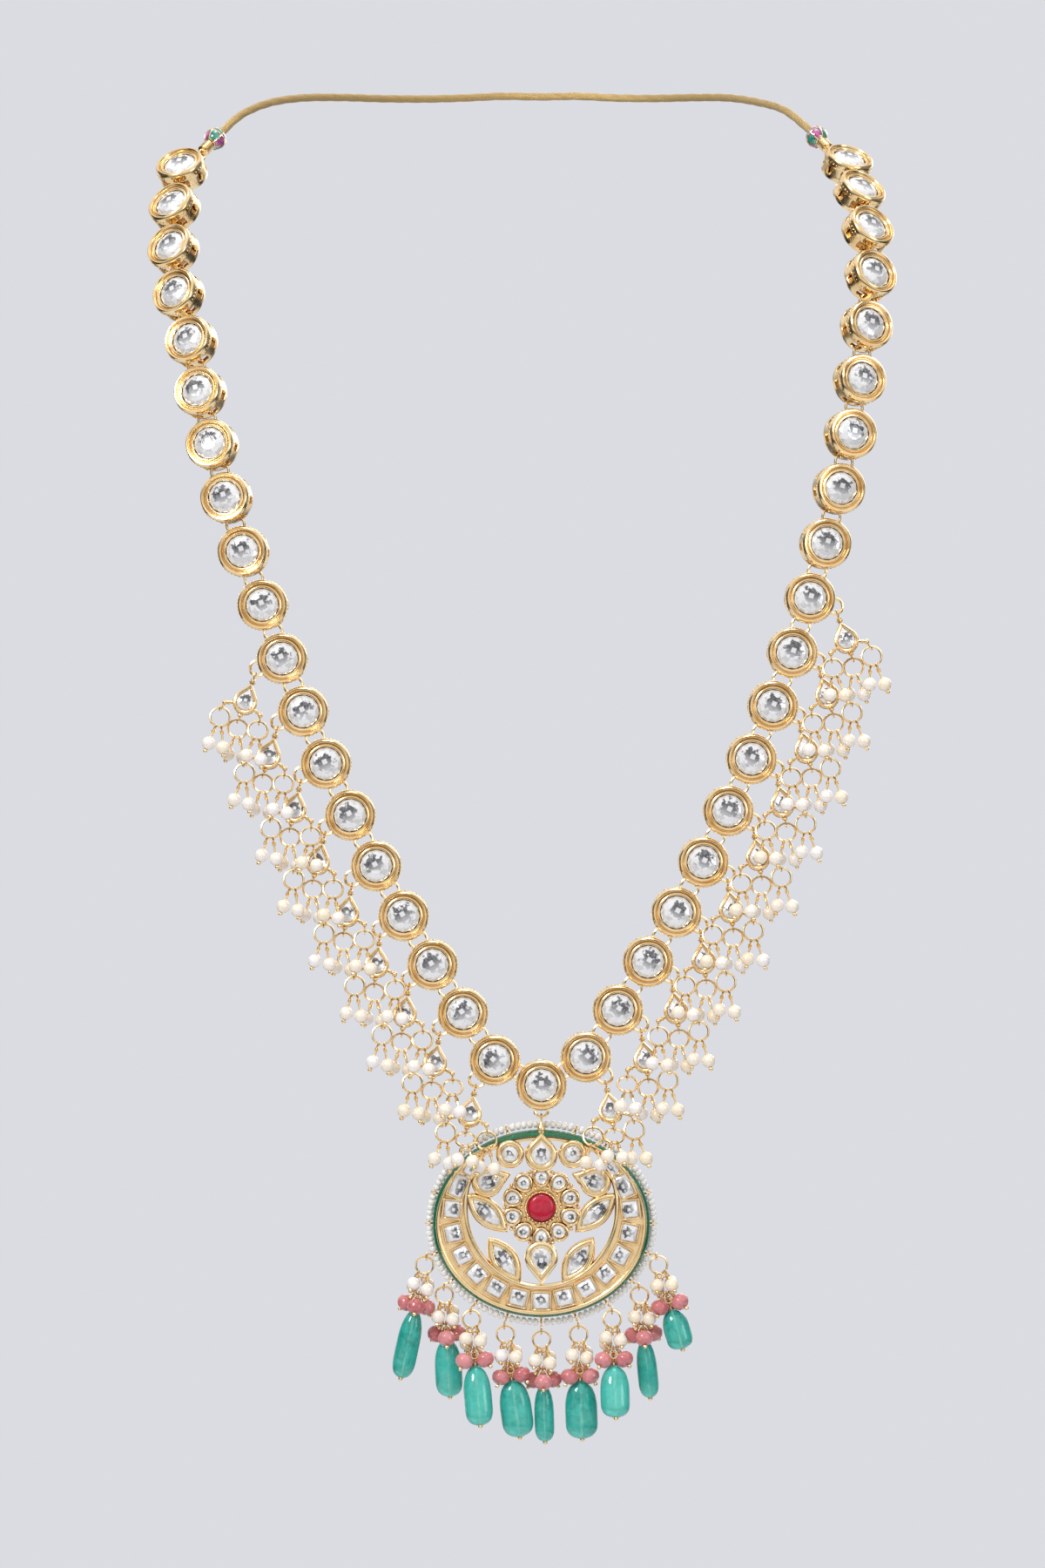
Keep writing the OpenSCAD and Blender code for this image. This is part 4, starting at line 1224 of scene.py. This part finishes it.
def build_drop_pearls():
    """The wired pearl pairs of the drops, each pair on its ring."""
    r = size_of("pearl_radius")
    frames = list(pearl_frames())
    hoop = put(moved((0, -DROP_RING_R, 0)), torus(DROP_RING_R, 0.28, 26, 7))
    wires = joined([hoop] + [pin(a, b, r, 0.56) for a, b in pair_pins()])
    mesh = strewn(make_mesh("pair", wires), even(frames), gold_wire())
    finished(mesh, "pearl_wires", "necklace")
    beads = shaded([m @ moved(b) for m in frames for _, b in pair_pins()], 4)
    mesh = strewn(make_mesh("pearl", ball((0, 0, 0), r, 18, 11)), beads, pearl())
    finished(mesh, "pearls", "necklace", ["drop_pearls"])


def oval_band(section, n=120):
    """Sweeps a closed section of (distance outside the front rim, height) round the pendant."""
    turns = [math.tau * j / n for j in range(n)]
    rings = [[((RIM[0] + d) * math.cos(a), (RIM[1] + d) * math.sin(a), z) for a in turns] for d, z in section]
    return loft(rings, loop=True)


def crescent_shape():
    """The crescent: two raised lips, a sunk field between them, and its inner and outer walls."""
    a, b, up = HOLLOW
    rows = []
    for j in range(CRESCENT_STEPS + 1):
        phi = CRESCENT_END - (2 * CRESCENT_END + 180) * j / CRESCENT_STEPS
        c, s = cosd(phi), sind(phi)
        outer = 1 / math.sqrt((c / RIM[0]) ** 2 + (s / RIM[1]) ** 2)
        # Where a ray from the rim's middle meets the hollow's edge
        qa, qb, qc = (c / a) ** 2 + (s / b) ** 2, -2 * s * up / b ** 2, (up / b) ** 2 - 1
        inner = (-qb + math.sqrt(qb * qb - 4 * qa * qc)) / (2 * qa)
        inner = min(inner, outer - 0.25)
        w = outer - inner
        lip = min(0.95, w * 0.48)
        field = RIM_FRONT - (0.75 if w > 2.6 else 0.75 * max(0.0, (w - 1.9) / 0.7))
        top = RIM_FRONT
        half = [(0, top - 0.45), (0.1 * lip, top - 0.16), (0.35 * lip, top), (0.65 * lip, top),
                (0.9 * lip, top - 0.14), (lip, min(top - 0.3, field + 0.1)), (lip + 0.05, field)]
        profile = [(0, BODY_BACK), *half, *((w - d, z) for d, z in reversed(half)), (w, CHANNEL[1]),
                   (w - 0.7, CHANNEL[1] - 0.1), (w - 0.7, BODY_BACK)]
        reach = [(inner + max(0.0, min(w, d)), z) for d, z in profile]
        rows.append([(r * c, r * s, z) for r, z in reach])
    return loft(rows)


def crescent_places():
    """Every square stone of the crescent: its frame, width and height."""
    for x, y, turn, w, h in CRESCENT_STONES:
        for s in ((1, -1) if x else (1,)):
            yield moved((s * x, y, 0)) @ turned("Z", s * turn), w, h


def build_pendant_body():
    """The crescent with its lips and frames, the hanging eyelet and the enamel band."""
    parts = [crescent_shape()]
    back = [(-1.2, CHANNEL[0]), (0.2, CHANNEL[0]), (0.42, CHANNEL[0] - 0.2), (0.42, -2.5), (0.2, -2.7),
            (-1.2, -2.7)]
    inner = [(-1.55, -2.5), (-1.55, 0.5), (-1.5, 0.6), (-0.95, 0.6), (-0.9, 0.5), (-0.9, -2.5)]
    parts += [oval_band(back), oval_band(inner)]
    levels = [(0.0, 1.2), (0.0, RIM_FRONT - 0.1), (0.1, RIM_FRONT + 0.04), (0.3, RIM_FRONT + 0.04),
              (0.42, RIM_FRONT - 0.1), (0.46, RIM_FRONT - 0.5)]
    for m, w, h in crescent_places():
        parts.append(put(m, raised(square_outline(w + 1.7, h + 1.5, 0.3), levels)))
    bail = [(0.8, 0), (0.55, 0.2), (0.95, 0.42), (1.0, 0.55), (0.9, 0.68), (0.45, 0.85), (0.3, 1)]
    parts.append(spindle((0, 20.4, 0), (0, PENDANT_DROP - 1.0, 0), bail))
    parts.append(put(moved((0, PENDANT_DROP, 0)), eyelet()))
    shape = put(PENDANT, joined(parts))
    finished(make_mesh("crescent", shape, 32), "crescent", "pendant", ["pendant_frame"], gold())
    glaze = [(-0.65, -1.5), (0.25, -1.5), (0.55, -1.05), (0.8, -0.9), (0.86, -0.6), (0.75, -0.2), (0.42, 0.35),
             (0.1, 0.6), (-0.65, 0.6)]
    green = enamel("Green enamel", tint_of("enamel"), (0.02, 0.42, 0.2))
    mesh = make_mesh("enamel", put(PENDANT, oval_band(glaze)), 50)
    finished(mesh, "enamel_band", "pendant", ["pendant_enamel"], green)


def cell_places():
    """Every cell: its shape, frame, two sizes and height."""
    for shape, x, y, turn, size, second, high in CELLS:
        for s in ((1, -1) if x else (1,)):
            yield shape, moved((s * x, y, 0)) @ turned("Z", s * turn), size, second, high


def cell_outline(shape, size, second, n):
    if shape == "round":
        return round_outline(size, n)
    if shape == "pear":
        return pear_outline(size, second, n)
    return lens_outline(size, second, n // 2)


def petal_outline(n=16):
    """A petal 4.6 across, narrower towards the flower's middle."""
    turns = [360 * j / n for j in range(n)]
    return [(2.28 * cosd(a) * (1 + 0.14 * sind(a)), 2.5 * sind(a) + 0.15) for a in turns]


def build_flower():
    """The flower, its cells and every stone of the pendant."""
    parts, stones, faces = [], [], []
    for shape, m, size, second, high in cell_places():
        wall = 0.47 * second / 2 if shape == "lens" else 0.42 * size
        parts.append(put(m, bezel(cell_outline(shape, size, second, 28), -1.8, high, wall)))
        outline = inset(cell_outline(shape, size, second, 10 if shape == "lens" else 11), wall * 0.94)
        stone = cut_stone(outline, high - 1.3, high - 0.55, high + 0.1, 0.4)
        reach = max(max(abs(p[0]), abs(p[1])) for p in stone[0])
        stones.append(put(m, stone))
        faces += [(p[0] / (0.8 * reach), p[1] / reach) for p in stone[0]]
    for j in range(PETALS):
        m = moved((0, FLOWER, 0)) @ turned("Z", 360 * j / PETALS) @ moved((0, PETAL_AT, 0))
        parts.append(put(m, bezel(petal_outline(20), -1.5, 1.6, 0.72)))
        stone = cut_stone([(0.69 * x, 0.69 * y) for x, y in petal_outline(10)], 0.4, 0.95, 1.5, 0.4)
        stones.append(put(m, stone))
        faces += [(p[0] / 1.5, p[1] / 1.6) for p in stone[0]]
        grain = moved((0, FLOWER, 0)) @ turned("Z", 360 * (j + 0.5) / PETALS)
        far, near = GRAINS_AT
        parts += [put(grain, ball((0, far, 0.7), 0.42, 9, 6)), put(grain, ball((0, near, 1.0), 0.4, 9, 6))]
    hub = [(0, -1.7), (RUBY_R + 0.7, -1.7), (RUBY_R + 0.75, 2.0), (RUBY_R + 0.6, 2.35), (RUBY_R + 0.3, 2.4),
           (RUBY_R + 0.14, 2.2), (RUBY_R + 0.12, 0.8), (0, 0.75)]
    plate = [(0, -1.9), (6.4, -1.9), (6.4, -0.9), (0, -0.9)]
    girdle = [(8.2, -2.0), (8.9, -2.0), (8.9, -1.2), (8.2, -1.2)]
    middle = moved((0, FLOWER, 0))
    parts += [put(middle, p) for p in (lathe(hub, 44), lathe(plate, 40), lathe(girdle, 60, True))]
    finished(make_mesh("flower", put(PENDANT, joined(parts)), 34), "flower", "pendant", (), gold())
    grains = [PENDANT @ middle @ turned("Z", 360 * j / HUB_GRAINS) @ moved((RUBY_R + 0.42, 0, 2.36))
              for j in range(HUB_GRAINS)]
    mesh = strewn(make_mesh("grain", ball((0, 0, 0), 0.27, 8, 5)), even(grains), gold())
    finished(mesh, "milgrain", "pendant")

    for m, w, h in crescent_places():
        outline = square_outline(w + 0.8, h + 0.6, 0.5)
        stone = cut_stone(outline, RIM_FRONT - 1.0, RIM_FRONT - 0.42, RIM_FRONT + 0.24, 0.5)
        stones.append(put(m, stone))
        faces += [(p[0] / (0.74 * w), p[1] / (0.74 * h)) for p in stone[0]]
    mesh = make_mesh("pendant gems", put(PENDANT, joined(stones)), smooth=False)
    mark(mesh, [(x, y, 0) for x, y in faces])
    foil = foil_stone("Pendant foil stone", 6, 0.36)
    finished(mesh, "pendant_gems", "pendant", ["pendant_stones"], foil)
    ruby = [(0, 0.8), (RUBY_R - 0.3, 0.85), (RUBY_R, 1.3), (RUBY_R, 2.05), (RUBY_R - 0.25, 2.45),
            (RUBY_R - 0.8, 2.68), (1.9, 2.8), (0, 2.86)]
    red = gem_glass("Ruby", tint_of("ruby"), (0.34, 0.0, 0.02), 700, 0.2, 0.0, 0.15)
    mesh = make_mesh("ruby", put(PENDANT @ middle, lathe(ruby, 32)), 60)
    finished(mesh, "ruby", "pendant", ["pendant_ruby"], red.material)


def build_seed_beads():
    """White seed beads, five between two pegs, on a thin wire through the pegs' eyelets."""
    barrel = mirrored([(0.3, -0.56), (0.62, -0.62), (0.85, -0.45), (0.95, -0.15)])
    bead = make_mesh("seed", put(turned("Y", 90), lathe(barrel, 12, True)), 60)
    step = 360 / PEGS
    spots = [-90 + step * p + FIRST_BEAD + BEAD_STEP * j for p in range(PEGS) for j in range(BEADS_TO_A_PEG)]
    pick = random.Random(SEED)
    places = [(string_frame(a + pick.uniform(-0.12, 0.12)), pick.uniform(0.93, 1.02), t)
              for a, t in zip(spots, shades(len(spots), 5))]
    finished(strewn(bead, places, seed_glass()), "seed_beads", "pendant", ["seed_bead_string"])
    rings, up = [], Vector((0, 0, 1))
    for j in range(STRING_STEPS):
        a = 360 * j / STRING_STEPS
        m = frame_matrix(string_out(a), up, string_out(a).cross(up), on_string(a))
        rings.append([m @ Vector(p) for p in circle(0.16, 6)])
    peg = joined([eyelet(), rod((0, -2.4, 0), (0, -EYE_R, 0), 0.38, 8), ball((0, -1.25, 0), 0.5, 10, 6)])
    parts = [put(PENDANT, loft(rings, True))]
    for j in range(PEGS):
        a = -90 + step * j
        parts.append(put(string_frame(a), peg))
        if sind(a) < -0.25:
            p = on_string(a) + PEG_EYE * string_out(a)
            parts.append(put(PENDANT @ moved(p), eyelet()))
            start, end = on_string(a) + EYE_R * string_out(a), p + Vector((0, EYE_R, 0))
            parts.append(put(PENDANT, rod(start, end, 0.24, 6)))
    finished(make_mesh("pegs", joined(parts)), "string_pegs", "pendant", (), gold_wire())


def pearl_pins():
    """The same for the four pearls of a fringe drop."""
    for s in (-1, 1):
        for f in (-1, 1):
            yield (s * 1.1, 0.3 - RING_BOTTOM, 0), (s * 1.75, -7.2 - 0.4 * s * f, f * 2.15)


def rose_pins(way):
    """The same for its three rose beads, which point forward or back."""
    for a in (0, 120, 240):
        yield (0.9 * sind(a), 0.2 - RING_BOTTOM, 0), (2.95 * sind(a), -7, way * 2.95 * cosd(a))


def tumble_scale(t):
    """The share of the full width at a share of the drop's length, round at both ends."""
    if t < 0.5:
        return max(0.2, (1 - (1 - t / 0.5) ** 2.2) ** (1 / 2.2))
    rest = min(1.0, (1 - t) / 0.3)
    return max(0.3, (1 - (1 - rest) ** 2.6) ** (1 / 2.6))


def tumbled_stone(width, depth, length, rings=24):
    """A teal drop below its loop, round at both ends."""
    made = []
    for j in range(rings + 1):
        share = (1 - math.cos(math.pi * j / rings)) / 2
        scale, y = tumble_scale(share), -TEAL_TOP - share * length
        made.append([(width / 2 * scale * cosd(a), y, depth / 2 * scale * sind(a)) for a in range(0, 360, 15)])
    return loft(made)


def headpin(length):
    """The wire through a teal drop: its loop, three wraps and the ball at its end."""
    neck, bottom = -TEAL_EYE - 2 * TEAL_LOOP, -TEAL_TOP - length
    parts = [put(moved((0, -TEAL_EYE - TEAL_LOOP, 0)), torus(TEAL_LOOP, 0.24, 14, 6)),
             rod((0, neck, 0), (0, -TEAL_TOP - 0.5, 0), 0.2), ball((0, bottom - 0.3, 0), 0.58, 12, 7),
             spindle((0, bottom + 0.35, 0), (0, bottom - 0.1, 0), [(0.5, 0), (0.72, 0.5), (0.4, 1)])]
    for j in range(3):
        parts.append(put(moved((0, neck - 0.3 - 0.26 * j, 0)) @ turned("X", 90), torus(0.3, 0.14, 9, 4)))
    return joined(parts)


def build_fringe():
    """The clusters of pearls and rose beads below the pendant, and the teal drops on their headpins."""
    wire = gold_wire()
    hoop = joined([put(moved((0, -FRINGE_RING_R, 0)), torus(FRINGE_RING_R, 0.27, 24, 7)),
                   put(moved((0, -RING_BOTTOM - EYE_R, 0)), eyelet())])
    r = size_of("pearl_radius")
    upper = joined([hoop] + [pin(a, b, r, 0.48) for a, b in pearl_pins()])
    rows = list(fringe_frames())
    meshes = [strewn(make_mesh("upper", upper), even(m for _, m in rows), wire)]
    for way in (-1, 1):
        lower = joined([hoop] + [pin(a, b, ROSE_R - 0.15, 0.52) for a, b in rose_pins(way)])
        frames = [m @ moved((0, -ROSE_TOP, 0)) for row, m in rows if row[3] == way]
        meshes.append(strewn(make_mesh("lower", lower), even(frames), wire))
    finished(merged("fringe_wires", meshes), "fringe_wires", "pendant")
    beads = shaded([m @ moved(b) for _, m in rows for _, b in pearl_pins()], 6)
    mesh = strewn(make_mesh("pearl", ball((0, 0, 0), r, 18, 11)), beads, pearl())
    finished(mesh, "fringe_pearls", "pendant", ["cluster_pearls"])

    frames = []
    for row, m in rows:
        for a, b in rose_pins(row[3]):
            a, b = Vector(a), Vector(b)
            frames.append(m @ moved((0, -ROSE_TOP, 0)) @ axis_matrix(b, b - a))
    rondelle = mirrored([(0, -1.62), (0.35, -1.68), (1.1, -1.55), (1.75, -1.1), (2.08, -0.5)], [(2.15, 0)])
    rose = gem_glass("Rose bead", tint_of("rose"), (0.5, 0.1, 0.12), 520, 0.14, 0.12, 0.3)
    mesh = strewn(make_mesh("rondelle", lathe(rondelle, 16), 26), shaded(frames, 7), rose.material)
    finished(mesh, "rose_beads", "pendant", ["cluster_rose_beads"])

    shapes, faces, tones, ends = [], [], [], []
    for (row, m), tone in zip(rows, shades(len(rows), 8)):
        shape = tumbled_stone(*row[4:])
        faces += [(2 * p[0] / row[4], -(p[1] + TEAL_TOP) / row[6], 0) for p in shape[0]]
        tones += [0.75 * tone * tone] * len(shape[0])
        shapes.append(put(m, shape))
        ends.append(put(m, headpin(row[6])))
    mesh = make_mesh("teal", joined(shapes), 60, tones=tones)
    mark(mesh, faces)
    finished(mesh, "teal_stones", "pendant", ["teal_drops"], teal_glass())
    finished(make_mesh("headpins", joined(ends)), "teal_headpins", "pendant", (), wire)


# The add-on


def colour_property(name, description, default):
    return bpy.props.FloatVectorProperty(name=name, description=description, subtype="COLOR", size=3, min=0,
                                         max=1, default=default)


def length_property(name, description, default, low, high):
    return bpy.props.FloatProperty(name=name, description=description, default=default, min=low, max=high,
                                   unit="LENGTH")


class NecklaceSizes(bpy.types.PropertyGroup):
    """Sizes that a user may change."""

    link_radius: length_property("Link radius", "Outer radius of a link", 0.006, 0.0055, 0.0062)
    stone_radius: length_property("Stone radius", "Radius of a link's stone", 0.0038, 0.0034, 0.0038)
    pearl_radius: length_property("Pearl radius", "Radius of a pearl", 0.00165, 0.0014, 0.0017)
    cord_diameter: length_property("Cord diameter", "Diameter of the neck cord", 0.002, 0.0016, 0.0021)


class NecklaceColours(bpy.types.PropertyGroup):
    """Colours that a user may change."""

    gold: colour_property("Gold", "Colour of the gold plate", (1.0, 0.79, 0.475))
    stone: colour_property("Clear stone", "Colour of the foil-backed stones", (0.84, 0.85, 0.88))
    pearl: colour_property("Pearl", "Colour of the warmest pearls", (0.95, 0.86, 0.74))
    enamel: colour_property("Green enamel", "Colour of the pendant's enamel", (0.0, 0.13, 0.05))
    ruby: colour_property("Ruby", "Colour of the centre stone", (0.62, 0.006, 0.045))
    rose: colour_property("Rose bead", "Light colour of the rose beads", (0.74, 0.24, 0.25))
    teal: colour_property("Teal stone", "Light colour of the teal drops", (0.045, 0.6, 0.51))


class NECKLACE_OT_stage(bpy.types.Operator):
    """Add the pale floor, the soft lights and the camera"""

    bl_idname = "necklace.stage"
    bl_label = "Stage"

    def execute(self, context):
        build_stage()
        return {"FINISHED"}


class NECKLACE_OT_cord(bpy.types.Operator):
    """Add the twisted neck cord, its wound caps and enamelled beads"""

    bl_idname = "necklace.cord"
    bl_label = "Neck cord"

    def execute(self, context):
        build_cord()
        return {"FINISHED"}


class NECKLACE_OT_links(bpy.types.Operator):
    """Add the links of the chain"""

    bl_idname = "necklace.links"
    bl_label = "Links"

    def execute(self, context):
        build_links()
        return {"FINISHED"}


class NECKLACE_OT_link_stones(bpy.types.Operator):
    """Add the links' round stones"""

    bl_idname = "necklace.link_stones"
    bl_label = "Link stones"

    def execute(self, context):
        build_link_stones()
        return {"FINISHED"}


class NECKLACE_OT_rings(bpy.types.Operator):
    """Add the jump rings and hooks"""

    bl_idname = "necklace.rings"
    bl_label = "Rings"

    def execute(self, context):
        build_rings()
        return {"FINISHED"}


class NECKLACE_OT_settings(bpy.types.Operator):
    """Add the pear-shaped settings and their stones"""

    bl_idname = "necklace.settings"
    bl_label = "Pear settings"

    def execute(self, context):
        build_settings()
        return {"FINISHED"}


class NECKLACE_OT_drop_pearls(bpy.types.Operator):
    """Add the wired pearls of the drops"""

    bl_idname = "necklace.drop_pearls"
    bl_label = "Drop pearls"

    def execute(self, context):
        build_drop_pearls()
        return {"FINISHED"}


class NECKLACE_OT_pendant(bpy.types.Operator):
    """Add the crescent and its enamel band"""

    bl_idname = "necklace.pendant"
    bl_label = "Crescent"

    def execute(self, context):
        build_pendant_body()
        return {"FINISHED"}


class NECKLACE_OT_flower(bpy.types.Operator):
    """Add the flower, the ruby and the pendant's stones"""

    bl_idname = "necklace.flower"
    bl_label = "Flower"

    def execute(self, context):
        build_flower()
        return {"FINISHED"}


class NECKLACE_OT_seed_beads(bpy.types.Operator):
    """Add the string of seed beads and its pegs"""

    bl_idname = "necklace.seed_beads"
    bl_label = "Seed beads"

    def execute(self, context):
        build_seed_beads()
        return {"FINISHED"}


class NECKLACE_OT_fringe(bpy.types.Operator):
    """Add the fringe of pearls, rose beads and teal drops"""

    bl_idname = "necklace.fringe"
    bl_label = "Fringe"

    def execute(self, context):
        build_fringe()
        return {"FINISHED"}


OPERATORS = [
    NECKLACE_OT_stage, NECKLACE_OT_cord, NECKLACE_OT_links, NECKLACE_OT_link_stones, NECKLACE_OT_rings,
    NECKLACE_OT_settings, NECKLACE_OT_drop_pearls, NECKLACE_OT_pendant, NECKLACE_OT_flower,
    NECKLACE_OT_seed_beads, NECKLACE_OT_fringe,
]


class NECKLACE_PT_pieces(bpy.types.Panel):
    """Lists the necklace's pieces, sizes and colours"""

    bl_idname = "NECKLACE_PT_pieces"
    bl_label = "Necklace"
    bl_space_type = "VIEW_3D"
    bl_region_type = "UI"
    bl_category = "Necklace"

    def draw(self, context):
        for group in (context.scene.necklace_sizes, context.scene.necklace_colours):
            for name in group.__annotations__:
                self.layout.prop(group, name)
        for operator in OPERATORS:
            self.layout.operator(operator.bl_idname)


CLASSES = [NecklaceSizes, NecklaceColours, *OPERATORS, NECKLACE_PT_pieces]


def register():
    for cls in CLASSES:
        bpy.utils.register_class(cls)
    bpy.types.Scene.necklace_sizes = bpy.props.PointerProperty(type=NecklaceSizes)
    bpy.types.Scene.necklace_colours = bpy.props.PointerProperty(type=NecklaceColours)


def unregister():
    del bpy.types.Scene.necklace_sizes
    del bpy.types.Scene.necklace_colours
    for cls in reversed(CLASSES):
        bpy.utils.unregister_class(cls)


def main():
    register()
    for operator in OPERATORS:
        group, name = operator.bl_idname.split(".")
        getattr(getattr(bpy.ops, group), name)()
    plain = [[[float(c) for c in corner] for corner in box] for box in (CAD_BOUNDS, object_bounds())]


if __name__ == "__main__":
    main()
